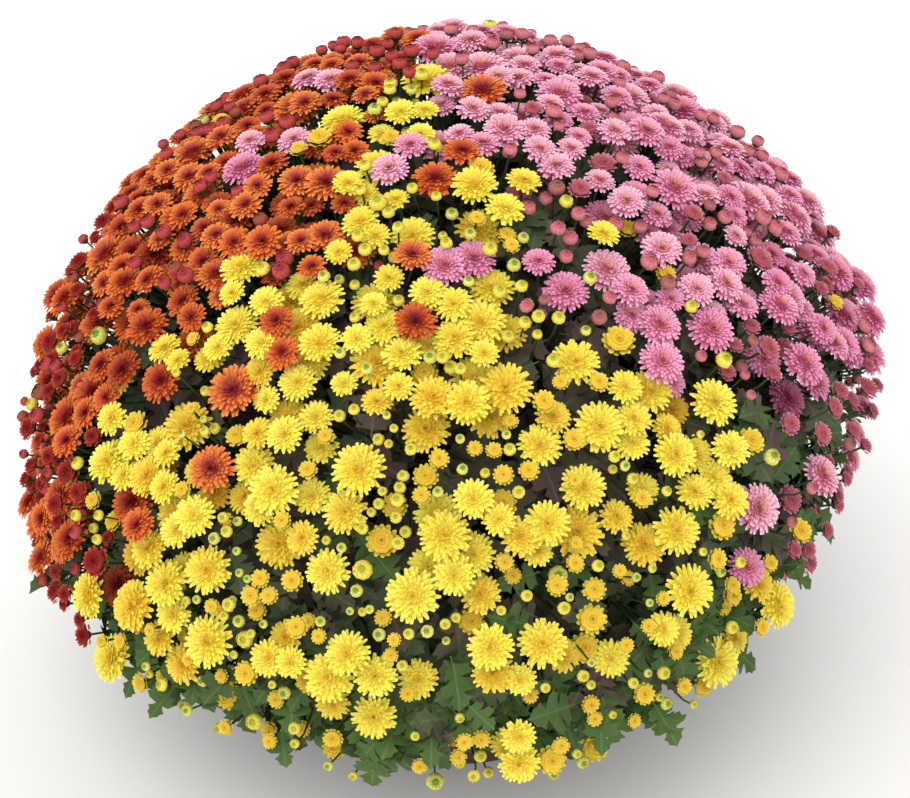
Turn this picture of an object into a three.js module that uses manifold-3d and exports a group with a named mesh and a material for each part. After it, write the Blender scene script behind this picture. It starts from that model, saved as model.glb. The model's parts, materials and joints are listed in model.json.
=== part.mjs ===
// A pot chrysanthemum: three garden mums, yellow, orange and pink, grown into one dome in a round nursery pot.
// Millimetres, +Z up. The origin is the centre of the pot's foot, on the ground, and the front is towards -Y.
// Azimuth is counted from the front, positive towards +X, and polar from straight up, both in degrees.
import * as THREE from "three";
import { mergeVertices } from "three/addons/utils/BufferGeometryUtils.js";
import Module from "manifold-3d";

const wasm = await Module();
wasm.setup();

// Pot
const POT_HEIGHT = 170;
const POT_FOOT_RADIUS = 112;
const POT_NECK_RADIUS = 141; // under the rim band
const POT_RIM_RADIUS = 148;
const POT_RIM_BAND = 22; // height of the rim band
const POT_WALL = 3;
const POT_SIDES = 30;
const DRAIN_HOLES = 5;
const DRAIN_RADIUS = 6;
const DRAIN_CIRCLE = 84;

// Soil
const CLEARANCE = 0.3; // between pieces that touch
const SOIL_TOP = 152; // at the pot's wall
const SOIL_CROWN = 6; // rise at the middle
const HOLE_DEPTH = 16;
const STEM_RADIUS = 3.6; // out to the corners of its three sides
const STEM_RISE = 48; // how far above the rim the lowest sprays' stems turn outwards
const CROWN_SPREAD = 112; // how far from the axis the outermost stem stands

// Canopy
const CENTRE = new THREE.Vector3(0, 0, 205); // the centre that all sprays point away from
const CANOPY_RADIUS = 316; // out to the plane of the blooms
const UNDERCUT = 0.55; // share of the radius that the canopy reaches below its centre
const CROWN_SWELL = 0.042; // share by which the canopy's upper part is fuller than a ball
const LUMPINESS = 0.02;
const BULGES = [
  { azimuth: 99, polar: 66, spread: 22, height: 17 }, // the pink plant's shoulder
  { azimuth: 68, polar: 108, spread: 32, height: -36 }, // bitten in under it
  { azimuth: -90, polar: 112, spread: 30, height: 12 },
];
const SPRAY_COUNT = 40;
const SPRAY_LOWEST = 107; // polar angle of the lowest spray

// Leafy core of a spray, which blooms and leaves stand out of
const CORE_OUTER = 0.82; // share of the canopy's reach
const CORE_INNER = 0.47;
const CORE_LEAST = 34; // thickness that even the core beside the pot keeps
const CORE_TAPER = { outer: 0.96, inner: 0.8 }; // how much of its cell each face of a core fills
const CORE_GAP = 1.4; // between neighbouring cores, at their inner faces
const SKIRT = 113; // polar angle of the lower edge of the lowest cores
const POT_CLEAR = 172; // the cores beside the pot keep this far from its axis
const BESIDE_POT = 65; // polar angle from which a core stands beside the pot

// Flowers: radii of the open blooms, the half-open ones and the buds
const KINDS = {
  bloom: { least: 17, most: 21.5, tries: 30000, count: 300, lowest: 99, sink: 24, bareBelow: -2.2 },
  half: { least: 10, most: 13, tries: 5000, count: 66, lowest: 104, sink: 28, bareBelow: -9 },
  bud: { least: 5.5, most: 7.5, tries: 1400, count: 30, lowest: 107, sink: 22, bareBelow: -9 },
};
const SAME_SPRAY_SPACING = 0.3; // between flowers of one spray
const SPRAY_TO_SPRAY = 1.0; // between flowers of two sprays
const DEPTH_APART = 0.46; // share of the two radii that lets one flower stand over another
const STALK_CLEAR = 3.4; // from the upper flower's stalk to the lower flower
const SKYWARD = 0.26; // how much a flower turns up from the canopy's own direction
const FACING_JITTER = 0.17;
const STALK_RADIUS = 1.7;
const STALK_LEAN = 0.34; // how far a stalk's foot moves towards the middle of its spray
const ROOT_DEPTH = 5; // of stalks and leaves in the core

// Leaves
const LEAF_LENGTH = 44;
const LEAF_WIDTH = 34;
const LEAF_RIB = 1.4;
const LEAVES = 46;
const LOW_LEAVES = 0.75; // share of the leaves that hang under the canopy's widest part
const LEAF_DROOP = 0.9;

const SLIVER = 0.002; // faces this near to one plane are joined after the cuts
const SEED = 20240917;
const DEGREE = Math.PI / 180;
const TURN = Math.PI * 2;
const GOLDEN_ANGLE = Math.PI * (3 - Math.sqrt(5));
const UP = new THREE.Vector3(0, 0, 1);
const EAST = new THREE.Vector3(1, 0, 0);

// Where each colour grows: the azimuths that bound the yellow plant at a few polar angles
const YELLOW_EDGES = [
  { polar: 8, left: -58, right: -12 },
  { polar: 20, left: -34, right: 10 },
  { polar: 32, left: -27, right: 22 },
  { polar: 40, left: -38, right: 20 },
  { polar: 50, left: -56, right: 38 },
  { polar: 68, left: -56, right: 44 },
  { polar: 90, left: -56, right: 47 },
  { polar: 120, left: -58, right: 50 },
];
const ORANGE_TO_PINK = -166; // azimuth at the back
const ORANGE_EDGE = -20; // azimuth that the orange plant doesn't pass in front

const COLOURS = {
  yellow: 0xf6d92a,
  orange: 0xd9541e,
  pink: 0xdc7fae,
};

function seededRandom(seed) {
  let state = seed;
  return () => {
    state = (state * 1664525 + 1013904223) % 4294967296;
    return state / 4294967296;
  };
}

function direction(azimuth, polar) {
  const a = azimuth * DEGREE;
  const p = polar * DEGREE;
  return new THREE.Vector3(Math.sin(p) * Math.sin(a), -Math.sin(p) * Math.cos(a), Math.cos(p));
}

function mix(a, b, share) {
  return a + (b - a) * share;
}

// Distance from the canopy's centre to the plane of the blooms.
function canopyReach(d) {
  const lumps = Math.sin(6 * d.x + 1.1) + Math.sin(5 * d.y + 2.3) + Math.sin(7 * d.z + 0.4);
  const rise = Math.min(1, Math.max(0, d.z / 0.75));
  const swell = CROWN_SWELL * rise * rise * (3 - 2 * rise);
  const ball = CANOPY_RADIUS * (1 + (LUMPINESS * lumps) / 3 + swell);
  const flattened = d.z < 0 ? ball / Math.hypot(d.x, d.y, d.z / UNDERCUT) : ball;
  return BULGES.reduce((reach, bulge) => {
    const away = Math.acos(Math.min(1, d.dot(direction(bulge.azimuth, bulge.polar)))) / DEGREE;
    return reach + bulge.height * Math.exp(-((away / bulge.spread) ** 2));
  }, flattened);
}

// The plant that grows at a direction.
function plantAt(d) {
  const azimuth = Math.atan2(d.x, -d.y) / DEGREE;
  const polar = Math.acos(Math.min(1, Math.max(-1, d.z))) / DEGREE;
  let k = 0;
  while (k < YELLOW_EDGES.length - 2 && polar > YELLOW_EDGES[k + 1].polar) k += 1;
  const low = YELLOW_EDGES[k];
  const high = YELLOW_EDGES[k + 1];
  const share = Math.min(1, Math.max(0, (polar - low.polar) / (high.polar - low.polar)));
  if (azimuth > mix(low.left, high.left, share) && azimuth < mix(low.right, high.right, share)) return "yellow";
  return azimuth > ORANGE_TO_PINK && azimuth < ORANGE_EDGE ? "orange" : "pink";
}

// --- Layout: where the sprays point and where their flowers stand ---

function placeSprays() {
  const lowest = Math.cos(SPRAY_LOWEST * DEGREE);
  return Array.from({ length: SPRAY_COUNT }, (_, i) => {
    const z = 1 - ((i + 0.5) / SPRAY_COUNT) * (1 - lowest);
    const around = i * GOLDEN_ANGLE;
    const flat = Math.sqrt(1 - z * z);
    const d = new THREE.Vector3(flat * Math.sin(around), -flat * Math.cos(around), z);
    return { direction: d, plant: plantAt(d), flowers: [] };
  });
}

function nearestSpray(sprays, d) {
  let best = 0;
  sprays.forEach((s, i) => {
    if (s.direction.dot(d) > sprays[best].direction.dot(d)) best = i;
  });
  return best;
}

// Waves over the canopy that leave some places without open blooms.
function bareness(d) {
  return Math.sin(17 * d.x + 0.7) + Math.sin(19 * d.y + 1.9) + Math.sin(18 * d.z + 0.2);
}

function crowds(flower, other) {
  const apart = other.centre.clone().sub(flower.centre);
  if (apart.length() > 60) return false;
  const facing = flower.facing.clone().add(other.facing).normalize();
  const along = Math.abs(apart.dot(facing));
  const across = Math.sqrt(Math.max(0, apart.lengthSq() - along * along));
  const radii = flower.radius + other.radius;
  if (across >= radii + (flower.spray === other.spray ? SAME_SPRAY_SPACING : SPRAY_TO_SPRAY)) return false;
  const clearOfStalk = across >= Math.max(flower.radius, other.radius) + STALK_CLEAR;
  return !clearOfStalk || along < DEPTH_APART * radii;
}

function placeFlowers(sprays) {
  const random = seededRandom(SEED);
  const flowers = [];
  for (const [kind, rule] of Object.entries(KINDS)) {
    const lowest = Math.cos(rule.lowest * DEGREE);
    let placed = 0;
    for (let n = 0; n < rule.tries && placed < rule.count; n += 1) {
      const z = 1 - random() * (1 - lowest);
      const around = random() * TURN;
      const radius = mix(rule.least, rule.most, random());
      const sink = rule.sink * random() ** 2;
      const turn = TURN * random();
      const jitter = new THREE.Vector3(random() - 0.5, random() - 0.5, random() - 0.5);
      const flat = Math.sqrt(1 - z * z);
      const d = new THREE.Vector3(flat * Math.sin(around), -flat * Math.cos(around), z);
      if (bareness(d) < rule.bareBelow) continue;
      const facing = new THREE.Vector3(d.x, d.y, Math.max(d.z, -0.1) + SKYWARD)
        .addScaledVector(jitter, 2 * FACING_JITTER)
        .normalize();
      const flower = {
        kind,
        radius,
        facing,
        turn,
        spray: nearestSpray(sprays, d),
        centre: CENTRE.clone().addScaledVector(d, canopyReach(d) - sink),
      };
      if (flowers.some((other) => crowds(flower, other))) continue;
      flowers.push(flower);
      sprays[flower.spray].flowers.push(flower);
      placed += 1;
    }
  }
}

// --- Solids ---

// A closed geometry from rings of points. Neighbouring rings may differ in count: they are joined by their angles.
// A ring of one point is an apex; a last ring of more is capped.
function loft(rings) {
  const positions = [];
  const starts = [];
  rings.forEach((ring) => {
    starts.push(positions.length / 3);
    ring.forEach((p) => positions.push(p.x, p.y, p.z));
  });
  const faces = [];
  for (let k = 0; k + 1 < rings.length; k += 1) {
    const a = rings[k].length;
    const b = rings[k + 1].length;
    let i = 0;
    let j = 0;
    while (i < (a > 1 ? a : 0) || j < (b > 1 ? b : 0)) {
      const stepA = b === 1 || j >= b || (a > 1 && i < a && (i + 0.5) / a < (j + 0.5) / b);
      const pointA = starts[k] + (i % a);
      const pointB = starts[k + 1] + (j % b);
      if (stepA && a > 1 && i < a) {
        faces.push(pointA, pointB, starts[k] + ((i + 1) % a));
        i += 1;
      } else {
        faces.push(pointA, pointB, starts[k + 1] + ((j + 1) % b));
        j += 1;
      }
    }
  }
  capRing(faces, starts[0], rings[0].length, true);
  capRing(faces, starts[rings.length - 1], rings[rings.length - 1].length, false);
  const geometry = new THREE.BufferGeometry();
  geometry.setAttribute("position", new THREE.Float32BufferAttribute(positions, 3));
  geometry.setIndex(faces);
  return geometry;
}

function capRing(faces, start, count, first) {
  for (let i = 1; i + 1 < count; i += 1) {
    if (first) faces.push(start, start + i, start + i + 1);
    else faces.push(start, start + i + 1, start + i);
  }
}

function solidOf(geometry) {
  const bare = geometry.clone();
  bare.deleteAttribute("normal");
  bare.deleteAttribute("uv");
  const merged = mergeVertices(bare, 1e-4);
  const solid = new wasm.Manifold(
    new wasm.Mesh({
      numProp: 3,
      vertProperties: merged.attributes.position.array,
      triVerts: new Uint32Array(merged.index.array),
    }),
  );
  if (solid.volume() <= 0) throw new Error("a solid is inside out");
  return solid;
}

function geometryOf(solid) {
  const mesh = solid.asOriginal().simplify(SLIVER).getMesh();
  const geometry = new THREE.BufferGeometry();
  geometry.setAttribute("position", new THREE.BufferAttribute(new Float32Array(mesh.vertProperties), 3));
  geometry.setIndex(new THREE.BufferAttribute(new Uint32Array(mesh.triVerts), 1));
  geometry.computeVertexNormals();
  return geometry;
}

// Two unit vectors square to an axis, the first as near to the hint as it can be.
function acrossAxis(axis, hint = Math.abs(axis.z) < 0.9 ? UP.clone().cross(axis) : EAST) {
  const u = hint.clone().addScaledVector(axis, -hint.dot(axis)).normalize();
  return [u, axis.clone().cross(u)];
}

// A ring of points about an axis; reach(k) gives each one's radius and lift along the axis.
function ring(centre, axis, count, reach, hint) {
  const [u, v] = acrossAxis(axis, hint);
  return Array.from({ length: count }, (_, k) => {
    const angle = (TURN * k) / count;
    const { radius, lift } = reach(k);
    return centre
      .clone()
      .addScaledVector(u, radius * Math.cos(angle))
      .addScaledVector(v, radius * Math.sin(angle))
      .addScaledVector(axis, lift);
  });
}

// Each kind of flower as rings from its top to the foot of its stalk.
const SHAPES = {
  bloom: { petals: 5, notch: 0.76, top: 0.4, rim: 0, rise: 0.05, base: -0.42 },
  half: { petals: 5, notch: null, top: 0.5, rim: 0.12, rise: 0, base: -0.55 },
  bud: { petals: 3, notch: null, top: 0.8, rim: 0.1, rise: 0, base: -0.8 },
};

function flowerSolid(flower, foot) {
  const { radius: r, facing, centre } = flower;
  const shape = SHAPES[flower.kind];
  const start = acrossAxis(facing)[0].applyAxisAngle(facing, flower.turn);
  const count = shape.notch ? shape.petals * 2 : shape.petals;
  const edge = ring(
    centre,
    facing,
    count,
    (k) =>
      shape.notch && k % 2
        ? { radius: r * shape.notch, lift: r * (shape.rim + shape.rise) }
        : { radius: r, lift: r * shape.rim },
    start,
  );
  const base = centre.clone().addScaledVector(facing, r * shape.base);
  const along = base.clone().sub(foot).normalize();
  const stalk = (at) => ring(at, along, 3, () => ({ radius: STALK_RADIUS, lift: 0 }), start);
  return solidOf(loft([[centre.clone().addScaledVector(facing, r * shape.top)], edge, stalk(base), stalk(foot)]));
}

// The polygon that a spray's cone cuts from the plane one unit out along its direction, each side moved in by inset.
function cellPolygon(sprays, index, inset) {
  const d = sprays[index].direction;
  const [u, v] = acrossAxis(d);
  const azimuth = Math.atan2(d.x, -d.y) / DEGREE;
  const halves = sprays
    .filter((other, j) => j !== index && other.direction.dot(d) > 0.3)
    .map((other) => d.clone().sub(other.direction));
  let polygon = [0, 1, 2, 3, 4, 5].map((k) => [Math.cos((k * TURN) / 6), Math.sin((k * TURN) / 6)]);
  [...halves, direction(azimuth, SKIRT - 90)].forEach((normal) => {
    const a = normal.dot(u);
    const b = normal.dot(v);
    const c = normal.dot(d) - inset * Math.hypot(a, b);
    const side = ([x, y]) => a * x + b * y + c;
    polygon = polygon.flatMap((p, k) => {
      const q = polygon[(k + 1) % polygon.length];
      const [sp, sq] = [side(p), side(q)];
      const kept = sp >= 0 ? [p] : [];
      if (sp >= 0 === sq >= 0) return kept;
      const t = sp / (sp - sq);
      return [...kept, [mix(p[0], q[0], t), mix(p[1], q[1], t)]];
    });
  });
  return polygon.filter(([x, y], k) => {
    const [px, py] = polygon[(k + 1) % polygon.length];
    return Math.hypot(px - x, py - y) > 0.008;
  });
}

// Inner and outer distance of a spray's core from the canopy's centre, clear of the pot for the low ones.
function coreSpan(d) {
  const reach = canopyReach(d);
  const flat = Math.hypot(d.x, d.y);
  const besidePot = d.z < Math.cos(BESIDE_POT * DEGREE) ? POT_CLEAR / flat : 0;
  const inner = Math.max(CORE_INNER * reach, besidePot);
  return { inner, outer: Math.max(CORE_OUTER * reach, inner + CORE_LEAST) };
}

function coreSolid(sprays, index) {
  const d = sprays[index].direction;
  const [u, v] = acrossAxis(d);
  const { inner, outer } = coreSpan(d);
  const polygon = cellPolygon(sprays, index, CORE_GAP / 2 / inner);
  const at = (distance, shrink) =>
    polygon.map(([x, y]) =>
      CENTRE.clone()
        .addScaledVector(d, distance)
        .addScaledVector(u, x * distance * shrink)
        .addScaledVector(v, y * distance * shrink),
    );
  return solidOf(loft([at(outer, CORE_TAPER.outer), at(inner, CORE_TAPER.inner)]));
}

// The main stem rises from its hole in the soil and bends out to the spray's core.
function stemPath(spray) {
  const d = spray.direction;
  const polar = Math.acos(d.z) / DEGREE;
  const flat = Math.max(1e-6, Math.hypot(d.x, d.y));
  const outward = new THREE.Vector3(d.x / flat, d.y / flat, 0);
  const stand = (CROWN_SPREAD * Math.sqrt(1 - d.z)) / Math.sqrt(1 - Math.cos(SPRAY_LOWEST * DEGREE));
  const bottom = outward.clone().multiplyScalar(stand).setZ(soilHeight(stand) - HOLE_DEPTH);
  const { inner, outer } = coreSpan(d);
  const end = CENTRE.clone().addScaledVector(d, mix(inner, outer, 0.4));
  const bend = bottom.clone().setZ(POT_HEIGHT + STEM_RISE * (polar / SPRAY_LOWEST) ** 2);
  return { bottom, bend, end, sideways: UP.clone().cross(outward) };
}

function stemSolid(spray) {
  const { bottom, bend, end, sideways } = stemPath(spray);
  const section = (at, along, size) => ring(at, along, 3, () => ({ radius: size, lift: 0 }), sideways);
  const second = end.clone().sub(bend).normalize();
  const halfway = second.clone().add(UP).normalize();
  return solidOf(
    loft([
      section(end, second, STEM_RADIUS * 0.8),
      section(bend, halfway, STEM_RADIUS),
      section(bottom, UP, STEM_RADIUS),
    ]),
  );
}

function soilHeight(radius) {
  return SOIL_TOP + SOIL_CROWN * (1 - (radius / POT_NECK_RADIUS) ** 2);
}

// The point in a spray's core where a flower's stalk is rooted.
function stalkFoot(sprays, flower) {
  const d = sprays[flower.spray].direction;
  const { outer } = coreSpan(d);
  const aim = flower.centre.clone().sub(CENTRE).normalize().lerp(d, STALK_LEAN).normalize();
  return CENTRE.clone().addScaledVector(aim, (outer - ROOT_DEPTH) / aim.dot(d));
}

// Outline of a lobed leaf, from its stalk round to the stalk again: x along, y across, z lift.
const LEAF_OUTLINE = [
  [-0.3, 0.04, 0],
  [0.1, 0.06, 0],
  [0.26, 0.5, -0.02],
  [0.38, 0.27, 0.02],
  [0.66, 0.46, -0.04],
  [0.72, 0.2, 0],
  [1, 0, -0.12],
  [0.72, -0.2, 0],
  [0.66, -0.46, -0.04],
  [0.38, -0.27, 0.02],
  [0.26, -0.5, -0.02],
  [0.1, -0.06, 0],
  [-0.3, -0.04, 0],
];

function leafSolid(foot, along, normal, size) {
  const side = normal.clone().cross(along).normalize();
  const lift = along.clone().cross(side).normalize();
  const point = (x, y, z) =>
    foot
      .clone()
      .addScaledVector(along, x * LEAF_LENGTH * size)
      .addScaledVector(side, y * LEAF_WIDTH * size)
      .addScaledVector(lift, z * LEAF_LENGTH * size);
  const outline = LEAF_OUTLINE.map(([x, y, z]) => point(x, y, z));
  const rib = point(0.5, 0, 0.03);
  const above = rib.clone().addScaledVector(lift, LEAF_RIB);
  const below = rib.clone().addScaledVector(lift, -LEAF_RIB);
  return solidOf(loft([[below], outline, [above]]));
}

// Leaves stand out round the cores, most of them low. One that would cross another spray is left out.
function addLeaves(sprays, solids) {
  const random = seededRandom(SEED + 1);
  let placed = 0;
  for (let n = 0; n < LEAVES * 8 && placed < LEAVES; n += 1) {
    const low = random() < LOW_LEAVES;
    const polar = low ? mix(92, SKIRT - 2, random()) : mix(12, 84, random());
    const d = direction(360 * random(), polar);
    const turn = TURN * random();
    const size = mix(0.75, 1.15, random());
    const i = nearestSpray(sprays, d);
    const { outer } = coreSpan(sprays[i].direction);
    const aim = d.clone().lerp(sprays[i].direction, low ? 0.08 : 0.25).normalize();
    const foot = CENTRE.clone().addScaledVector(aim, (outer - ROOT_DEPTH) / aim.dot(sprays[i].direction));
    const [u, v] = acrossAxis(d);
    const sideways = u.multiplyScalar(Math.cos(turn)).addScaledVector(v, Math.sin(turn));
    const along = low
      ? new THREE.Vector3(d.x, d.y, -LEAF_DROOP).addScaledVector(sideways, 0.45).normalize()
      : sideways.addScaledVector(d, 0.75).normalize();
    const normal = low ? UP.clone().addScaledVector(d, 0.6) : d.clone();
    const leaf = leafSolid(foot, along, normal, size);
    if (solids.some((other, j) => j !== i && other.intersect(leaf).volume() > 0)) continue;
    solids[i] = solids[i].add(leaf);
    placed += 1;
  }
}

function lathe(profile, sides) {
  const points = profile.map(([r, z]) => new THREE.Vector2(r, z));
  const turned = new THREE.LatheGeometry(points, sides);
  turned.rotateX(Math.PI / 2);
  return turned;
}

function potSolid() {
  const band = POT_HEIGHT - POT_RIM_BAND;
  const body = solidOf(
    lathe(
      [
        [0, 0],
        [POT_FOOT_RADIUS, 0],
        [POT_NECK_RADIUS, band],
        [POT_RIM_RADIUS, band],
        [POT_RIM_RADIUS, POT_HEIGHT],
        [POT_RIM_RADIUS - POT_WALL, POT_HEIGHT],
        [POT_NECK_RADIUS - POT_WALL, band],
        [POT_FOOT_RADIUS - POT_WALL, POT_WALL],
        [0, POT_WALL],
      ],
      POT_SIDES,
    ),
  );
  return Array.from({ length: DRAIN_HOLES }, (_, k) => {
    const angle = (TURN * k) / DRAIN_HOLES;
    const hole = new THREE.CylinderGeometry(DRAIN_RADIUS, DRAIN_RADIUS, POT_WALL * 4, 6);
    hole.rotateX(Math.PI / 2);
    hole.translate(DRAIN_CIRCLE * Math.cos(angle), DRAIN_CIRCLE * Math.sin(angle), 0);
    return solidOf(hole);
  }).reduce((pot, hole) => pot.subtract(hole), body);
}

// Inner radius of the pot's wall at a height under the rim band.
function potInside(z) {
  const share = (z - POT_WALL) / (POT_HEIGHT - POT_RIM_BAND - POT_WALL);
  return mix(POT_FOOT_RADIUS, POT_NECK_RADIUS, Math.min(1, share)) - POT_WALL;
}

function soilSolid(sprays) {
  const bottom = POT_WALL + CLEARANCE;
  const edge = POT_HEIGHT - POT_RIM_BAND;
  const shrink = Math.cos(Math.PI / POT_SIDES);
  const profile = [
    [0, bottom],
    [potInside(bottom) - CLEARANCE * 2, bottom],
    [potInside(edge) - CLEARANCE * 2, edge],
    [potInside(edge) * shrink - 4, SOIL_TOP],
    [0, SOIL_TOP + SOIL_CROWN],
  ];
  return sprays.reduce(
    (soil, spray) => {
      const { bottom: foot, sideways } = stemPath(spray);
      const size = STEM_RADIUS + CLEARANCE * 2;
      const section = (z) => ring(foot.clone().setZ(z), UP, 3, () => ({ radius: size, lift: 0 }), sideways);
      return soil.subtract(solidOf(loft([section(SOIL_TOP + 40), section(foot.z - CLEARANCE)])));
    },
    solidOf(lathe(profile, POT_SIDES)),
  );
}

// --- The part ---

function material(colour, roughness) {
  return new THREE.MeshStandardMaterial({ color: colour, roughness, metalness: 0, flatShading: true });
}

function meshOf(name, solid, look) {
  const mesh = new THREE.Mesh(geometryOf(solid), look);
  mesh.name = name;
  return mesh;
}

function buildPlant() {
  const sprays = placeSprays();
  placeFlowers(sprays);
  const solids = sprays.map((spray, i) =>
    spray.flowers.reduce(
      (whole, flower) => whole.add(flowerSolid(flower, stalkFoot(sprays, flower))),
      coreSolid(sprays, i).add(stemSolid(spray)),
    ),
  );
  addLeaves(sprays, solids);
  return { sprays, solids };
}

const { sprays, solids } = buildPlant();
const plant = new THREE.Group();
plant.add(meshOf("pot", potSolid(), material(0x4b3a40, 0.6)));
plant.add(meshOf("soil", soilSolid(sprays), material(0x33251d, 0.95)));
const looks = Object.fromEntries(Object.entries(COLOURS).map(([name, colour]) => [name, material(colour, 0.7)]));
const counts = { yellow: 0, orange: 0, pink: 0 };
sprays.forEach((spray, i) => {
  counts[spray.plant] += 1;
  const number = String(counts[spray.plant]).padStart(2, "0");
  plant.add(meshOf(`spray_${spray.plant}_${number}`, solids[i], looks[spray.plant]));
});

export default plant;
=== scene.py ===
"""A pot chrysanthemum: a yellow, an orange and a pink garden mum that have grown into one dome over a pot.

Sizes are in metres and angles in degrees, unless a comment says otherwise. +Z is up, and the foot of the pot
stands on the ground at the origin. The rule that places the sprays and their large flowers is that of the
part's solids, so each of those flowers opens where its solid stands. Smaller blooms, buds and leaves fill the
dome between them.
"""

from __future__ import annotations

import json
import logging
import math
from dataclasses import dataclass, field
from enum import Enum
from typing import Any

import bpy
import numpy as np
from mathutils import Matrix

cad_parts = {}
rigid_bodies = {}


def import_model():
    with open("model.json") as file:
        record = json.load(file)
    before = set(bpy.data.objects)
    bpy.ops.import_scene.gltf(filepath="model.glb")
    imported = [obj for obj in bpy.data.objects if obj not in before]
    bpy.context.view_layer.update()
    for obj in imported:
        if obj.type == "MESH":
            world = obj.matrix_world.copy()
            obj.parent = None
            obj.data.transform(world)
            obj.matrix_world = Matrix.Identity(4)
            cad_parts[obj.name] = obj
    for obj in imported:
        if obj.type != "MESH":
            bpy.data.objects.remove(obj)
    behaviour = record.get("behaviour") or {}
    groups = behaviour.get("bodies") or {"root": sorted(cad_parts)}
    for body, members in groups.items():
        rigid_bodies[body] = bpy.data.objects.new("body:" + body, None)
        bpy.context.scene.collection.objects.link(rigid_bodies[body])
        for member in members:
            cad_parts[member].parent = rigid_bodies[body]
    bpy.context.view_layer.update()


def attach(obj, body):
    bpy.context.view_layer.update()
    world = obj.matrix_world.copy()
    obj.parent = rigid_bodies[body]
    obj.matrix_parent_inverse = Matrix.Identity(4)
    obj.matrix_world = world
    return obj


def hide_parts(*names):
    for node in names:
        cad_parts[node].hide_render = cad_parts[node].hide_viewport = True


log = logging.getLogger("chrysanthemum")

SEED = 20240917
UP = np.array([0.0, 0.0, 1.0])
CENTRE = np.array([0.0, 0.0, 0.205])  # the point that all sprays grow away from
GOLDEN_ANGLE = math.pi * (3 - math.sqrt(5))
BAKE_MAP = "OFBake"


class Plant(Enum):
    """The three plants in the pot."""

    YELLOW = "yellow"
    ORANGE = "orange"
    PINK = "pink"


PLANTS = tuple(Plant)


class Form(Enum):
    """How far a flower has opened."""

    BLOOM = "bloom"
    HALF = "half"
    BUD = "bud"


class Tone(Enum):
    """The age of a flower, which tints its petals. Its darker tones also stand for painted shade on blooms
    deep in the dome, and its younger, paler ones for painted light near the top.
    """

    FRESH = 0
    BRIGHT = 1
    FULL = 2
    DEEP = 3
    OLD = 4
    OPENING = 5
    COLOURED_BUD = 6
    GREEN_BUD = 7


TONES = len(Tone)


# --- Vectors ---


def mix(a: Any, b: Any, share: Any) -> Any:
    """Returns the value that lies a share of the way from a to b."""
    return a + (b - a) * share


def unit(vector: np.ndarray) -> np.ndarray:
    """Returns the vector at length 1."""
    return vector / np.linalg.norm(vector)


def direction(azimuth: float, polar: float) -> np.ndarray:
    """Returns the unit vector at an azimuth, counted from -Y towards +X, and a polar angle from +Z."""
    a, p = math.radians(azimuth), math.radians(polar)
    return np.array([math.sin(p) * math.sin(a), -math.sin(p) * math.cos(a), math.cos(p)])


def place_of(d: np.ndarray) -> tuple[float, float]:
    """Returns the azimuth and the polar angle of a unit vector."""
    return math.degrees(math.atan2(d[0], -d[1])), math.degrees(math.acos(min(1.0, max(-1.0, d[2]))))


def angle_between(a: np.ndarray, b: np.ndarray) -> float:
    """Returns the angle between two unit vectors."""
    return math.degrees(math.acos(min(1.0, float(np.dot(a, b)))))


def curve(start: np.ndarray, knee: np.ndarray, end: np.ndarray, *shares: float) -> list[np.ndarray]:
    """Returns points of the curve that leaves its start towards a knee and comes from there to its end."""
    return [mix(mix(start, knee, share), mix(knee, end, share), share) for share in shares]


def circle_angles(sides: int) -> np.ndarray:
    """Returns evenly spaced angles around a circle, in radians."""
    return np.arange(sides) * math.tau / sides


def on_cap(drawn_height: float, drawn_turn: float, lowest: float) -> np.ndarray:
    """Gives a direction that is drawn evenly from the cap of the sphere above a polar angle.

    Args:
        drawn_height: A number from 0 to 1, for the height.
        drawn_turn: A number from 0 to 1, for the azimuth.
        lowest: The polar angle of the cap's edge.

    Returns:
        The unit vector.
    """
    z = 1 - drawn_height * (1 - math.cos(math.radians(lowest)))
    around = drawn_turn * math.tau
    flat = math.sqrt(1 - z * z)
    return np.array([flat * math.sin(around), -flat * math.cos(around), z])


def square_to(axis: np.ndarray, turn: float = 0.0) -> tuple[np.ndarray, np.ndarray]:
    """Gives two unit vectors square to an axis and to each other.

    Args:
        axis: The unit vector they are square to.
        turn: The angle in radians by which both are turned about it.

    Returns:
        The two vectors, which make a right-handed frame with the axis.
    """
    hint = np.cross(UP, axis) if abs(axis[2]) < 0.9 else np.array([1.0, 0.0, 0.0])
    first = unit(hint - axis * np.dot(hint, axis))
    second = np.cross(axis, first)
    return (
        first * math.cos(turn) + second * math.sin(turn),
        second * math.cos(turn) - first * math.sin(turn),
    )


class Draws:
    """The stream of numbers between 0 and 1 that the planting rule draws from."""

    def __init__(self, seed: int) -> None:
        """Starts the stream at a seed."""
        self.state = seed

    def next(self) -> float:
        """Returns the next number."""
        self.state = (self.state * 1664525 + 1013904223) % 4294967296
        return self.state / 4294967296


# --- Finishes ---


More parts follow.
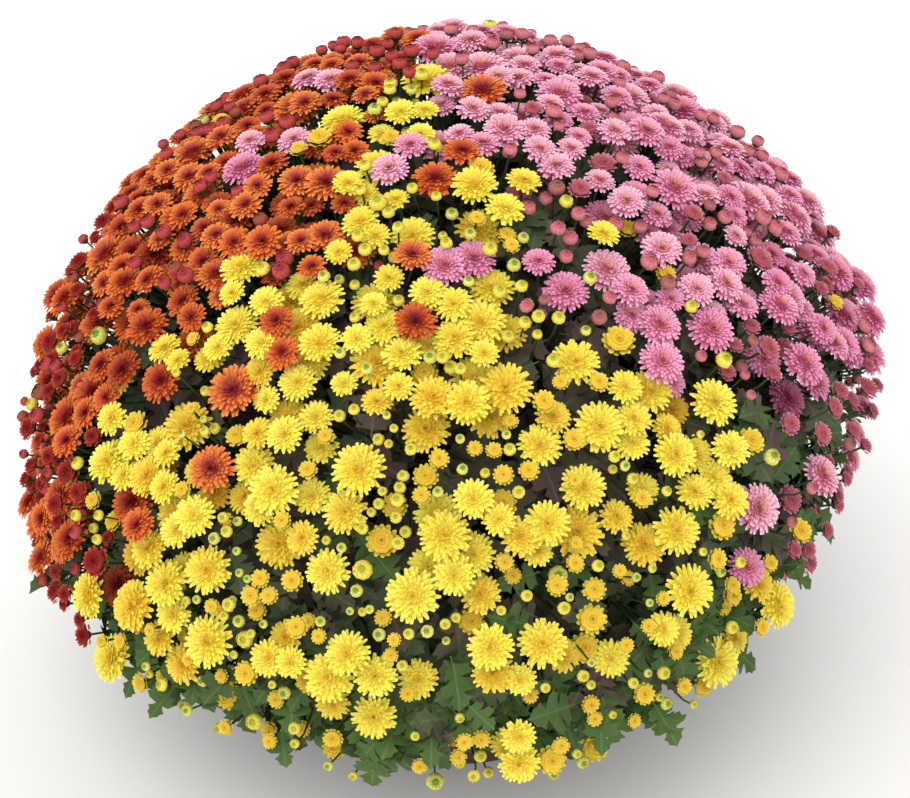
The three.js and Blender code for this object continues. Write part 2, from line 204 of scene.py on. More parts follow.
class Signal:
    """A number that varies over a surface. Arithmetic on it adds Math nodes to its finish."""

    def __init__(self, finish: Finish, socket: bpy.types.NodeSocket) -> None:
        """Wraps an output socket of one of the finish's nodes."""
        self.finish = finish
        self.socket = socket

    def _math(self, operation: str, *values: Any) -> Signal:
        """Returns the result of a Math node on the values."""
        made = self.finish.node("ShaderNodeMath", {"operation": operation}, dict(enumerate(values)))
        return Signal(self.finish, made.outputs[0])

    def __add__(self, other: Any) -> Signal:
        """Returns self + other."""
        return self._math("ADD", self, other)

    def __radd__(self, other: Any) -> Signal:
        """Returns other + self."""
        return self._math("ADD", other, self)

    def __sub__(self, other: Any) -> Signal:
        """Returns self - other."""
        return self._math("SUBTRACT", self, other)

    def __rsub__(self, other: Any) -> Signal:
        """Returns other - self."""
        return self._math("SUBTRACT", other, self)

    def __mul__(self, other: Any) -> Signal:
        """Returns self * other."""
        return self._math("MULTIPLY", self, other)

    def __rmul__(self, other: Any) -> Signal:
        """Returns other * self."""
        return self._math("MULTIPLY", other, self)

    def __truediv__(self, other: Any) -> Signal:
        """Returns self / other."""
        return self._math("DIVIDE", self, other)

    def __gt__(self, other: Any) -> Signal:
        """Returns 1 where self is greater than other, and 0 elsewhere."""
        return self._math("GREATER_THAN", self, other)

    def __abs__(self) -> Signal:
        """Returns the signal without its sign."""
        return self._math("ABSOLUTE", self)

    def floor(self) -> Signal:
        """Returns the whole part."""
        return self._math("FLOOR", self)

    def fraction(self) -> Signal:
        """Returns what is left of the whole part."""
        return self._math("FRACT", self)

    def ease(self, low: float, high: float) -> Signal:
        """Returns a smooth step from 0 at low to 1 at high."""
        step = self.finish.node(
            "ShaderNodeMapRange",
            {"interpolation_type": "SMOOTHSTEP"},
            {"Value": self, "From Min": low, "From Max": high},
        )
        return Signal(self.finish, step.outputs["Result"])


def paint(code: str) -> tuple[float, float, float, float]:
    """Returns the linear colour of a six-digit sRGB code."""
    levels = (int(code[k : k + 2], 16) / 255 for k in (0, 2, 4))
    red, green, blue = (x / 12.92 if x <= 0.04045 else ((x + 0.055) / 1.055) ** 2.4 for x in levels)
    return red, green, blue, 1.0


Stops = tuple[tuple[float, str], ...]  # a ramp's positions and colour codes


class Finish:
    """A material and the nodes that draw it."""

    def __init__(self, name: str, roughness: float, specular: float) -> None:
        """Makes a material with one uniform roughness and specular level."""
        self.material = bpy.data.materials.new(name)
        self.material.use_nodes = True
        self.tree = self.material.node_tree
        self.shader = self.tree.nodes["Principled BSDF"]
        self.shader.inputs["Roughness"].default_value = roughness
        self.shader.inputs["Specular IOR Level"].default_value = specular

    def feed(self, socket: bpy.types.NodeSocket, value: Any) -> None:
        """Gives an input socket a link, if the value is one, or else a fixed value."""
        if isinstance(value, Signal):
            value = value.socket
        if isinstance(value, bpy.types.NodeSocket):
            self.tree.links.new(value, socket)
        else:
            socket.default_value = value

    def node(
        self, kind: str, settings: dict[str, Any] | None = None, inputs: dict[Any, Any] | None = None
    ) -> bpy.types.Node:
        """Adds a node.

        Args:
            kind: The node's type.
            settings: Its settings. "stops" are those of a ramp, and "steps" keeps them sharp.
            inputs: The values or links of its input sockets, by name or number.

        Returns:
            The node.
        """
        made = self.tree.nodes.new(kind)
        for key, value in (settings or {}).items():
            if key == "stops":
                elements = made.color_ramp.elements
                while len(elements) < len(value):
                    elements.new(1.0)
                for element, (position, code) in zip(elements, value):
                    element.position = position
                    element.color = paint(code)
            elif key == "steps":
                made.color_ramp.interpolation = "CONSTANT"
            else:
                setattr(made, key, value)
        for key, value in (inputs or {}).items():
            self.feed(made.inputs[key], value)
        return made

    def ramp(self, signal: Signal, stops: Stops, steps: bool = False) -> bpy.types.NodeSocket:
        """Returns the colour that a ramp gives for a signal."""
        settings = {"stops": stops} | ({"steps": True} if steps else {})
        return self.node("ShaderNodeValToRGB", settings, {"Fac": signal}).outputs["Color"]

    def blend(self, share: Any, first: Any, second: Any, how: str = "MIX") -> bpy.types.NodeSocket:
        """Returns two colours mixed in the given way, by a share of the second."""
        inputs = {0: share, 6: first, 7: second}
        return self.node("ShaderNodeMix", {"data_type": "RGBA", "blend_type": how}, inputs).outputs[2]

    def _parts(self, place: bpy.types.NodeSocket) -> list[Signal]:
        """Returns the three numbers of a place."""
        parts = self.node("ShaderNodeSeparateXYZ", inputs={"Vector": place})
        return [Signal(self, parts.outputs[k]) for k in "XYZ"]

    def map_place(self) -> list[Signal]:
        """Returns the two coordinates of a surface point on the piece's own map."""
        return self._parts(self.node("ShaderNodeUVMap", {"uv_map": BAKE_MAP}).outputs["UV"])[:2]

    def object_place(self) -> list[Signal]:
        """Returns the three coordinates of a surface point in the piece's own space."""
        return self._parts(self.node("ShaderNodeTexCoord").outputs["Object"])

    def noise(self, scale: float, detail: float, *place: Any) -> Signal:
        """Returns noise over up to three coordinates."""
        vector = self.node("ShaderNodeCombineXYZ", inputs=dict(enumerate(place))).outputs[0]
        inputs = {"Vector": vector, "Scale": scale, "Detail": detail}
        return Signal(self, self.node("ShaderNodeTexNoise", {"normalize": True}, inputs).outputs[0])

    def grey(self, level: Signal) -> bpy.types.NodeSocket:
        """Returns a signal as a colour of three like channels."""
        return self.node("ShaderNodeCombineColor", inputs={0: level, 1: level, 2: level}).outputs[0]

    def shaded(self, colour: Any, light: Signal) -> bpy.types.NodeSocket:
        """Returns a colour multiplied by a signal."""
        return self.blend(1.0, colour, self.grey(light), "MULTIPLY")

    def bump(self, height: Signal, strength: float, distance: float) -> None:
        """Raises the surface's shading by a height."""
        inputs = {"Strength": strength, "Distance": distance, "Height": height}
        self.feed(self.shader.inputs["Normal"], self.node("ShaderNodeBump", inputs=inputs).outputs[0])

    def coat(self, colour: Any) -> None:
        """Gives the surface its colour."""
        self.feed(self.shader.inputs["Base Color"], colour)


@dataclass(frozen=True)
class PetalFinish:
    """The petals of one plant. Its map runs from base to tip, and from heart to rim once for each tone."""

    plant: Plant
    rim: Stops  # an outer petal, from base to tip; its darker, warmer base is partly the petal's own colour and partly painted shade
    heart: Stops  # a petal of the heart, from base to tip, likewise darker at the base, partly as painted shade
    bud: Stops  # a coloured bud, from its heart to its outside
    green_bud: Stops  # a young bud, from its heart to its outside
    age_and_shade_tints: tuple[str, ...]  # what each tone multiplies the colour by: age, and painted shade in the darker tints
    heart_start: float = 0.08  # distance from the middle up to which the heart's colour is pure
    heart_width: float = 0.66  # distance from the middle at which the rim's colour is reached
    folded: float = 0.5  # how much of the way to the rim's colour a half-open flower lacks
    streaks: tuple[float, float] = (2.5, 34.0)  # how fine the streaks are along and across the petals
    streak_light: tuple[float, float] = (0.86, 0.26)  # of the darkest streak, and how much lighter others are

    def make(self) -> bpy.types.Material:
        """Returns the material."""
        finish = Finish(f"petals_{self.plant.value}", roughness=0.62, specular=0.25)
        along, level = finish.map_place()
        level = (level * len(PLANTS) - PLANTS.index(self.plant)) * TONES
        tone = level.floor()
        outward = level.fraction()
        steps = (Tone.OPENING, Tone.COLOURED_BUD, Tone.GREEN_BUD)
        opening, closed, green = (tone > step.value - 0.5 for step in steps)
        unfolded = outward * (1 - opening * self.folded)
        heart, rim = finish.ramp(along, self.heart), finish.ramp(along, self.rim)
        opened = finish.blend(unfolded.ease(self.heart_start, self.heart_width), heart, rim)
        budding = finish.blend(green, finish.ramp(outward, self.bud), finish.ramp(outward, self.green_bud))
        colour = finish.blend(closed, opened, budding)
        # Each tone's tint: age, and painted shade that darkens the blooms deep in the dome.
        stops = tuple((k / TONES, code) for k, code in enumerate(self.age_and_shade_tints))
        colour = finish.blend(1.0, colour, finish.ramp((tone + 0.5) / TONES, stops, steps=True), "MULTIPLY")
        streaks = finish.noise(1.0, 2.0, along * self.streaks[0], level * self.streaks[1])
        darkest, contrast = self.streak_light
        finish.coat(finish.shaded(colour, darkest + streaks * contrast))
        finish.bump(streaks, strength=0.35, distance=0.0006)
        return finish.material


LEAF_CELLS = 4  # rows and columns of the sheet of leaves; each row is one step of painted shade
LEAF_SHEET = 0.8  # share of the map's height that the sheet takes


@dataclass(frozen=True)
class LeafFinish:
    """Leaves, whose map is a sheet of cells, each with one leaf lying along it in a tone of its own. The rows
    of cells are steps of painted light and shade, from the dome's shaded inside to its lit edge.
    """

    # From painted shade at the dark purple-brown end to the leaves' own green at the light end.
    blade: Stops = ((0.0, "5E484C"), (0.3, "584E42"), (0.46, "4A583A"), (0.75, "4C6634"), (1.0, "62803A"))
    vein_light: float = 0.4  # how much lighter the veins are
    vein_step: float = 6.0  # side veins along a leaf
    vein_slant: float = 5.0

    def make(self) -> bpy.types.Material:
        """Returns the material."""
        finish = Finish("mum_leaf", roughness=0.68, specular=0.16)
        u, v = finish.map_place()
        column, row = u * LEAF_CELLS, v * (LEAF_CELLS / LEAF_SHEET)
        along = column.fraction()
        across = abs(row.fraction() - 0.5)
        cell = finish.node("ShaderNodeCombineXYZ", inputs={0: column.floor(), 1: row.floor()}).outputs[0]
        drawn = finish.node("ShaderNodeTexWhiteNoise", {"noise_dimensions": "2D"}, {"Vector": cell})
        shade = Signal(finish, drawn.outputs["Value"])
        mottle = finish.noise(1.0, 3.0, u * 42.0, v * 52.0)
        # The cell's row sets the painted shade; the cell's drawn tone and the mottle are the leaf's own.
        blade = finish.ramp(row.floor() / (LEAF_CELLS - 1) * 0.5 + shade * 0.25 + mottle * 0.25, self.blade)
        rib = 1 - across.ease(0.012, 0.045)
        branches = abs((along * self.vein_step - across * self.vein_slant).fraction() - 0.5)
        side_veins = (1 - branches.ease(0.02, 0.13)) * (1 - across.ease(0.22, 0.4))
        veins = rib + side_veins * 0.45
        finish.coat(finish.shaded(blade, 1.0 + veins * self.vein_light))
        finish.bump(mottle * 0.5 - veins, strength=0.5, distance=0.0008)
        return finish.material


@dataclass(frozen=True)
class StemFinish:
    """Stalks and calyces, from the woody foot to the fresh green under the flower."""

    length: Stops = ((0.0, "46382E"), (0.4, "403A2A"), (0.8, "344426"), (1.0, "42602C"))

    def make(self) -> bpy.types.Material:
        """Returns the material."""
        finish = Finish("mum_stem", roughness=0.6, specular=0.3)
        along, across = finish.map_place()
        grain = finish.noise(1.0, 2.0, along * 24.0, across * 160.0)
        light = 0.75 + grain * 0.5
        finish.coat(finish.shaded(finish.ramp(along, self.length), light))
        finish.bump(grain, strength=0.4, distance=0.0005)
        return finish.material


@dataclass(frozen=True)
class PotFinish:
    """Moulded plastic of a nursery pot, dulled by dust and splashes of soil near its foot and rim."""

    plastic: str = "4B3A3C"
    dust: str = "8A7B6B"

    def make(self) -> bpy.types.Material:
        """Returns the material."""
        finish = Finish("pot_plastic", roughness=0.5, specular=0.4)
        x, y, z = finish.object_place()
        grain = finish.noise(420.0, 3.0, x, y, z)
        smears = finish.noise(26.0, 5.0, x, y, z * 0.5)
        splashes = smears.ease(0.5, 0.68) * (1 - z.ease(0.01, 0.09) * 0.75)
        colour = finish.blend(splashes * 0.5 + grain * 0.06, paint(self.plastic), paint(self.dust))
        finish.coat(colour)
        finish.feed(finish.shader.inputs["Roughness"], 0.4 + splashes * 0.3 + grain * 0.1)
        finish.bump(grain, strength=0.25, distance=0.0006)
        return finish.material


@dataclass(frozen=True)
class SoilFinish:
    """Dark potting soil with bark crumbs and pale grains."""

    ground: Stops = ((0.25, "120C08"), (0.5, "2A1D13"), (0.75, "45311F"), (1.0, "6B5137"))
    grain: str = "B9B2A4"

    def make(self) -> bpy.types.Material:
        """Returns the material."""
        finish = Finish("potting_soil", roughness=0.95, specular=0.2)
        x, y, z = finish.object_place()
        crumbs = finish.noise(180.0, 6.0, x, y, z)
        specks = finish.noise(330.0, 1.0, x + 3.0, y, z).ease(0.69, 0.73)
        colour = finish.blend(specks, finish.ramp(crumbs, self.ground), paint(self.grain))
        finish.coat(colour)
        finish.bump(crumbs + specks * 0.5, strength=0.9, distance=0.003)
        return finish.material


PETAL_FINISHES = (
    PetalFinish(
        plant=Plant.YELLOW,
        rim=((0.0, "D8AE20"), (0.4, "EAD132"), (0.75, "F1E146"), (1.0, "F6EE72")),
        heart=((0.0, "D8AE3A"), (0.5, "ECD146"), (1.0, "F3E262")),
        bud=((0.0, "AEB23A"), (0.35, "D6CA40"), (0.7, "ECDC50"), (1.0, "F6E662")),
        green_bud=((0.0, "7E963A"), (0.4, "B4BE4E"), (0.75, "E0DE66"), (1.0, "F0EA78")),
        age_and_shade_tints=("FFFFFF", "FFFDF6", "FFF9EC", "FCECD2", "EACA9C", "FCF4EC", "FFFFFF", "FFFFFF"),
    ),
    PetalFinish(
        plant=Plant.ORANGE,
        rim=((0.0, "8C2822"), (0.35, "BE4822"), (0.7, "DC6E2C"), (1.0, "EE9648")),
        heart=((0.0, "6E1626"), (0.5, "922030"), (1.0, "B43A44")),
        bud=((0.0, "9E3238"), (0.4, "A83438"), (1.0, "C44E4C")),
        green_bud=((0.0, "8A5C3C"), (0.4, "964C38"), (1.0, "B05042")),
        age_and_shade_tints=("FFFFFF", "FAE6D2", "E8C8BE", "D2A49A", "AC7C74", "F4CCB4", "FFFFFF", "FFFFFF"),
        heart_width=0.82,
    ),
    PetalFinish(
        plant=Plant.PINK,
        rim=((0.0, "B8486E"), (0.4, "D47698"), (0.75, "E89CB8"), (1.0, "FAD2DE")),
        heart=((0.0, "B2585A"), (0.5, "D68284"), (1.0, "F0B8B0")),
        bud=((0.0, "C4666E"), (0.4, "C8626C"), (1.0, "D6848A")),
        green_bud=((0.0, "8E6E50"), (0.35, "A2665A"), (1.0, "BA6E74")),
        age_and_shade_tints=("FFFFFF", "FAE6F4", "F4D4EA", "E2B6D0", "B4829E", "DEBEC8", "FFFFFF", "FFFFFF"),
    ),
)


# --- Meshes ---

LEAF_MATERIAL, STEM_MATERIAL = 0, 1  # their numbers in the green pieces
TUBE_STRIPE = 0.04  # how much of the map a tube takes across


@dataclass
class Draft:
    """The triangles of one piece, gathered part by part before its mesh is made."""

    points: list[np.ndarray] = field(default_factory=list)
    faces: list[np.ndarray] = field(default_factory=list)
    places: list[np.ndarray] = field(default_factory=list)
    finishes: list[np.ndarray] = field(default_factory=list)
    count: int = 0

    def add(self, points: np.ndarray, faces: np.ndarray, places: np.ndarray, finish: int = 0) -> None:
        """Adds a part.

        Args:
            points: Its points, as rows of x, y and z.
            faces: Its triangles, as rows of three numbers of its points.
            places: Where each point lies on the piece's map.
            finish: The number of its material.
        """
        self.points.append(points)
        self.faces.append(faces + self.count)
        self.places.append(places)
        self.finishes.append(np.full(len(faces), finish, dtype=np.int32))
        self.count += len(points)

    def piece(self, name: str, materials: list[bpy.types.Material], slot: str, node: str) -> bpy.types.Object:
        """Makes the piece and puts it in the frame.

        Args:
            name: Its name.
            materials: Its materials, in the order of the parts' numbers.
            slot: The name of a record's slot; not used.
            node: The CAD node that it stands for.

        Returns:
            The object.
        """
        faces = np.concatenate(self.faces)
        places = np.concatenate(self.places)
        mesh = bpy.data.meshes.new(name)
        mesh.vertices.add(self.count)
        mesh.vertices.foreach_set("co", np.concatenate(self.points).astype(np.float32).ravel())
        mesh.loops.add(faces.size)
        mesh.loops.foreach_set("vertex_index", faces.astype(np.int32).ravel())
        mesh.polygons.add(len(faces))
        mesh.polygons.foreach_set("loop_start", np.arange(0, faces.size, 3, dtype=np.int32))
        mesh.polygons.foreach_set("material_index", np.concatenate(self.finishes))
        mesh.polygons.foreach_set("use_smooth", np.ones(len(faces), dtype=bool))
        layer = mesh.uv_layers.new(name=BAKE_MAP)
        layer.data.foreach_set("uv", places[faces.ravel()].astype(np.float32).ravel())
        for material in materials:
            mesh.materials.append(material)
        mesh.update(calc_edges=True)
        made = bpy.data.objects.new(name, mesh)
        bpy.context.scene.collection.objects.link(made)
        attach(made, "root")
        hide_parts(node)
        log.info("%s: %d triangles, for %s", name, len(faces), node)
        return made


def ring_faces(rings: int, sides: int) -> np.ndarray:
    """Returns the triangles that join rings of points, each with the next."""
    k = np.arange(sides)
    after = (k + 1) % sides
    low = np.column_stack([k, after, after + sides])
    high = np.column_stack([k, after + sides, k + sides])
    one = np.vstack([low, high])
    return np.concatenate([one + sides * n for n in range(rings - 1)])


def round_piece(
    name: str,
    node: str,
    material: bpy.types.Material,
    rings: list[np.ndarray],
    ends: tuple[float, float],
    downwards: bool = False,
) -> bpy.types.Object:
    """Makes a piece of rings of points about the Z axis, closed by a point at either end.

    Args:
        name: Its name.
        node: The CAD node that it stands for, whose slot has the same name.
        material: Its material, which needs no map.
        rings: The rings, each with the same number of points.
        ends: The heights of the points that close the first and the last ring.
        downwards: Whether the rings start at the solid's top.

    Returns:
        The object.
    """
    sides = len(rings[0])
    points = np.vstack([*rings, *([0.0, 0.0, z] for z in ends)])
    faces = ring_faces(len(rings), sides)
    k = np.arange(sides)
    after = (k + 1) % sides
    if downwards:
        faces, k, after = faces[:, ::-1], after, k
    last = (len(rings) - 1) * sides
    middle = np.full(sides, len(rings) * sides)
    start = np.column_stack([after, k, middle])
    end = np.column_stack([k + last, after + last, middle + 1])
    draft = Draft()
    draft.add(points, np.vstack([faces, start, end]), np.zeros((len(points), 2)))
    made = draft.piece(name, [material], node, node)
    made.data.uv_layers.remove(made.data.uv_layers[BAKE_MAP])
    return made


@dataclass(frozen=True)
class Strip:
    """The sides of one kind of tube, and the strip of the stem finish's map that it takes."""

    sides: int
    start: float  # along the map
    span: float
    level: float  # across the map


STEM_STRIP = Strip(6, 0.0, 0.45, 0.88)
STALK_STRIP = Strip(3, 0.45, 0.5, 0.9)
CALYX_STRIP = Strip(5, 0.9, 0.1, 0.92)


def add_tube(draft: Draft, path: np.ndarray, radii: np.ndarray, strip: Strip) -> None:
    """Adds a tube of straight stretches to a draft of green parts.

    Args:
        draft: The draft.
        path: The points that the tube runs through.
        radii: Its radius at each of them.
        strip: Its kind.
    """
    steps = np.diff(path, axis=0)
    lengths = np.linalg.norm(steps, axis=1)
    tangents = np.vstack([steps[:1], steps[:-1] + steps[1:], steps[-1:]])
    tangents /= np.linalg.norm(tangents, axis=1)[:, None]
    first, _ = square_to(tangents[0])
    angles = circle_angles(strip.sides)
    points = []
    for centre, tangent, radius in zip(path, tangents, radii):
        first = unit(first - tangent * np.dot(first, tangent))
        second = np.cross(tangent, first)
        points.append(centre + radius * (np.outer(np.cos(angles), first) + np.outer(np.sin(angles), second)))
    along = np.concatenate([[0.0], np.cumsum(lengths)]) / lengths.sum()
    u = strip.start + strip.span * np.repeat(along, strip.sides)
    v = strip.level + np.tile(np.arange(strip.sides) / strip.sides * TUBE_STRIPE, len(path))
    faces = ring_faces(len(path), strip.sides)
    draft.add(np.concatenate(points), faces, np.column_stack([u, v]), STEM_MATERIAL)


# --- The planting rule, shared with the part's solids ---


@dataclass(frozen=True)
class Bulge:
    """A place where the dome is fuller or flatter than its plain form."""

    azimuth: float
    polar: float
    spread: float
    height: float


@dataclass(frozen=True)
class Canopy:
    """The form of the dome and where each colour grows on it."""

    radius: float = 0.316
    undercut: float = 0.55  # height of the lower half against a ball's
    swell: float = 0.042  # how much further than a ball the dome reaches on top
    swell_height: float = 0.75  # height on the unit ball from which on it swells in full
    lumpiness: float = 0.02
    bulges: tuple[Bulge, ...] = (
        Bulge(99, 66, 22, 0.017),
        Bulge(68, 108, 32, -0.036),
        Bulge(-90, 112, 30, 0.012),
    )
    yellow_edges: tuple[tuple[float, float, float], ...] = (  # polar angle, and the azimuths left and right
        (8, -58, -12),
        (20, -34, 10),
        (32, -27, 22),
        (40, -38, 20),
        (50, -56, 38),
        (68, -56, 45),
        (90, -56, 56),
        (120, -58, 62),
    )
    orange_to_pink: float = -166.0
    orange_edge: float = -20.0

    def reach(self, d: np.ndarray) -> float:
        """Returns how far the plane of the blooms is from the dome's centre in a direction."""
        x, y, z = d
        lumps = math.sin(6 * x + 1.1) + math.sin(5 * y + 2.3) + math.sin(7 * z + 0.4)
        rise = min(1.0, max(0.0, z / self.swell_height))
        ball = self.radius * (1 + self.lumpiness * lumps / 3 + self.swell * rise * rise * (3 - 2 * rise))
        if z < 0:
            ball /= math.hypot(x, y, z / self.undercut)
        for bulge in self.bulges:
            away = angle_between(d, direction(bulge.azimuth, bulge.polar))
            ball += bulge.height * math.exp(-((away / bulge.spread) ** 2))
        return ball

    def plant_at(self, d: np.ndarray, drift: float = 0.0) -> Plant:
        """Names the plant that grows in a direction.

        Args:
            d: The direction.
            drift: By how many degrees of azimuth the plants' edges are moved there.

        Returns:
            The plant.
        """
        azimuth, polar = place_of(d)
        azimuth += drift
        polars, lefts, rights = zip(*self.yellow_edges)
        if np.interp(polar, polars, lefts) < azimuth < np.interp(polar, polars, rights):
            return Plant.YELLOW
        return Plant.ORANGE if self.orange_to_pink < azimuth < self.orange_edge else Plant.PINK

    @staticmethod
    def bareness(d: np.ndarray) -> float:
        """Returns waves over the dome whose troughs have few open blooms."""
        return math.sin(17 * d[0] + 0.7) + math.sin(19 * d[1] + 1.9) + math.sin(18 * d[2] + 0.2)


@dataclass
class Flower:
    """One flower where it stands."""

    form: Form
    centre: np.ndarray
    facing: np.ndarray
    radius: float
    turn: float
    spray: int
    plant: Plant = Plant.YELLOW
    tone: Tone = Tone.FULL
    depth: float = 0.0  # under the plane of the blooms

    @property
    def outward(self) -> np.ndarray:
        """Returns the direction from the dome's centre to the flower."""
        return unit(self.centre - CENTRE)


@dataclass(frozen=True)
class Kind:
    """How the large flowers of one form are placed."""

    least: float  # radius
    most: float
    tries: int
    count: int
    lowest: float  # polar angle
    sink: float  # how far the deepest stands under the plane of the blooms
    bare_below: float


@dataclass
class Spray:
    """One main stem and what grows on it."""

    direction: np.ndarray
    plant: Plant
    name: str
    flowers: list[Flower] = field(default_factory=list)


class Crowd:
    """The flowers placed so far, as arrays that a new one is tested against."""

    def __init__(self, size: int) -> None:
        """Makes room for a number of flowers."""
        self.centres = np.zeros((size, 3))
        self.facings = np.zeros((size, 3))
        self.radii = np.zeros(size)
        self.sprays = np.zeros(size, dtype=int)
        self.count = 0

    def add(self, flower: Flower, radius: float) -> None:
        """Adds a flower, which takes up the given radius."""
        self.centres[self.count] = flower.centre
        self.facings[self.count] = flower.facing
        self.radii[self.count] = radius
        self.sprays[self.count] = flower.spray
        self.count += 1

    def apart(self, flower: Flower, within: float) -> tuple[np.ndarray, np.ndarray, np.ndarray]:
        """Measures a new flower against those near it.

        Args:
            flower: The new flower.
            within: How near they are.

        Returns:
            Their numbers, and how far from the new flower they stand across and along their common facing.
        """
        offsets = self.centres[: self.count] - flower.centre
        distances = np.einsum("ij,ij->i", offsets, offsets)
        near = np.flatnonzero(distances <= within * within)
        axes = self.facings[near] + flower.facing
        axes /= np.linalg.norm(axes, axis=1)[:, None]
        along = np.abs(np.einsum("ij,ij->i", offsets[near], axes))
        return near, np.sqrt(np.maximum(0.0, distances[near] - along * along)), along


@dataclass
class Planting:
    """Where the sprays point and where their large flowers stand."""

    canopy: Canopy
    spray_count: int = 40
    spray_lowest: float = 107.0
    same_spray_spacing: float = 0.0003
    spray_to_spray: float = 0.001
    depth_apart: float = 0.46  # share of two flowers' radii that lets one stand over the other
    stalk_clear: float = 0.0034
    skyward: float = 0.26
    facing_jitter: float = 0.17
    nearby: float = 0.06  # how far away flowers are tested against each other
    kinds: dict[Form, Kind] = field(
        default_factory=lambda: {
            Form.BLOOM: Kind(0.017, 0.0215, 30000, 300, 99, 0.024, -2.2),
            Form.HALF: Kind(0.010, 0.013, 5000, 66, 104, 0.028, -9),
            Form.BUD: Kind(0.0055, 0.0075, 1400, 30, 107, 0.022, -9),
        }
    )
    sprays: list[Spray] = field(default_factory=list)
    flowers: list[Flower] = field(default_factory=list)

    def lay_out(self) -> None:
        """Places the sprays, then the flowers."""
        counts = dict.fromkeys(Plant, 0)
        for k in range(self.spray_count):
            d = on_cap((k + 0.5) / self.spray_count, k * GOLDEN_ANGLE / math.tau, self.spray_lowest)
            plant = self.canopy.plant_at(d)
            counts[plant] += 1
            self.sprays.append(Spray(d, plant, f"spray_{plant.value}_{counts[plant]:02d}"))
        draws = Draws(SEED)
        crowd = Crowd(sum(kind.count for kind in self.kinds.values()))
        for form, kind in self.kinds.items():
            placed = 0
            for _ in range(kind.tries):
                flower = self._draw(draws, form, kind)
                if flower is None or self._crowds(crowd, flower):
                    continue
                crowd.add(flower, flower.radius)
                self.flowers.append(flower)
                placed += 1
                if placed == kind.count:
                    break

    def nearest_spray(self, d: np.ndarray) -> int:
        """Returns the number of the spray that points nearest to a direction."""
        return int(np.argmax(np.array([spray.direction for spray in self.sprays]) @ d))

    def facing(self, d: np.ndarray, jitter: np.ndarray) -> np.ndarray:
        """Returns the way that a flower faces: outwards, turned up a little, and unevenly."""
        return unit(np.array([d[0], d[1], max(d[2], -0.1) + self.skyward]) + 2 * self.facing_jitter * jitter)

    def _draw(self, draws: Draws, form: Form, kind: Kind) -> Flower | None:
        """Returns one try at a flower, or None where the dome is left bare."""
        d = on_cap(draws.next(), draws.next(), kind.lowest)
        radius = mix(kind.least, kind.most, draws.next())
        sink = kind.sink * draws.next() ** 2
        turn = math.tau * draws.next()
        jitter = np.array([draws.next() - 0.5, draws.next() - 0.5, draws.next() - 0.5])
        if self.canopy.bareness(d) < kind.bare_below:
            return None
        centre = CENTRE + d * (self.canopy.reach(d) - sink)
        return Flower(form, centre, self.facing(d, jitter), radius, turn, self.nearest_spray(d), depth=sink)

    def _crowds(self, crowd: Crowd, flower: Flower) -> bool:
        """Tells whether a large flower would touch one that is placed."""
        near, across, along = crowd.apart(flower, self.nearby)
        radii = crowd.radii[near] + flower.radius
        spacing = np.where(crowd.sprays[near] == flower.spray, self.same_spray_spacing, self.spray_to_spray)
        beside = across >= np.maximum(crowd.radii[near], flower.radius) + self.stalk_clear
        over = beside & (along >= self.depth_apart * radii)
        return bool(np.any((across < radii + spacing) & ~over))


# --- What fills the dome between the large flowers ---


@dataclass(frozen=True)
class Filling:
    """How the smaller flowers of one form are placed between the large ones."""

    form: Form
    count: int
    tries: int
    least: float  # radius
    most: float
    lowest: float  # polar angle
    deepest: float  # how far the deepest stands under the plane of the blooms
    proud: float  # how far the highest stands above it
    bare_below: float
    packing: float  # share of two flowers' radii that keeps them apart side by side
    layering: float  # share of the radii that lets one stand over the other
    thinning: float  # how strongly the clearings and the skirt thin it out
    on_yellow: float = 1.0  # share of those on the yellow plant that open


@dataclass(frozen=True)
class Clearing:
    """A part of the dome where the leaves show and few blooms are open."""

    azimuth: float
    polar: float
    spread: float
    bare: float  # share of its blooms that are missing in its middle


@dataclass(frozen=True)
class Guest:
    """A flower of one plant that has grown through another plant."""

    azimuth: float
    polar: float
    plant: Plant
    form: Form

    @property
    def outward(self) -> np.ndarray:
        """Returns the direction that it grows in."""
        return direction(self.azimuth, self.polar)


GUESTS = tuple(
    Guest(azimuth, polar, plant, form)
    for plant, form, places in (
        (Plant.YELLOW, Form.BLOOM, ((-74, 15), (-116, 5), (-44, 37))),
        (Plant.YELLOW, Form.HALF, ((-97, 8), (-67, 6), (-49, 13), (-95, 36), (-65, 29))),
        (Plant.ORANGE, Form.BLOOM, ((-5, 41), (-7, 32), (-29, 42), (-30, 45), (-41, 50), (-48, 56))),
        (Plant.ORANGE, Form.BLOOM, ((-50, 76), (-37, 55))),
        (Plant.PINK, Form.BLOOM, ((-84, 23), (-110, 17), (-105, 13), (-61, 20), (-72, 27))),
        (Plant.PINK, Form.BLOOM, ((-23, 20), (-15, 19))),
        (Plant.ORANGE, Form.BLOOM, ((4, 16), (1, 19), (55, 5))),
        (Plant.PINK, Form.BLOOM, ((3, 32), (9, 33), (23, 40), (29, 37))),
        (Plant.YELLOW, Form.BLOOM, ((25, 20), (30, 29))),
        (Plant.YELLOW, Form.HALF, ((38, 33), (35, 40), (35, 44), (49, 45), (84, 46), (73, 61))),
        (Plant.YELLOW, Form.BLOOM, ((51, 91),)),
        (Plant.PINK, Form.BLOOM, ((46, 72), (62, 75.5))),
    )
    for azimuth, polar in places
)


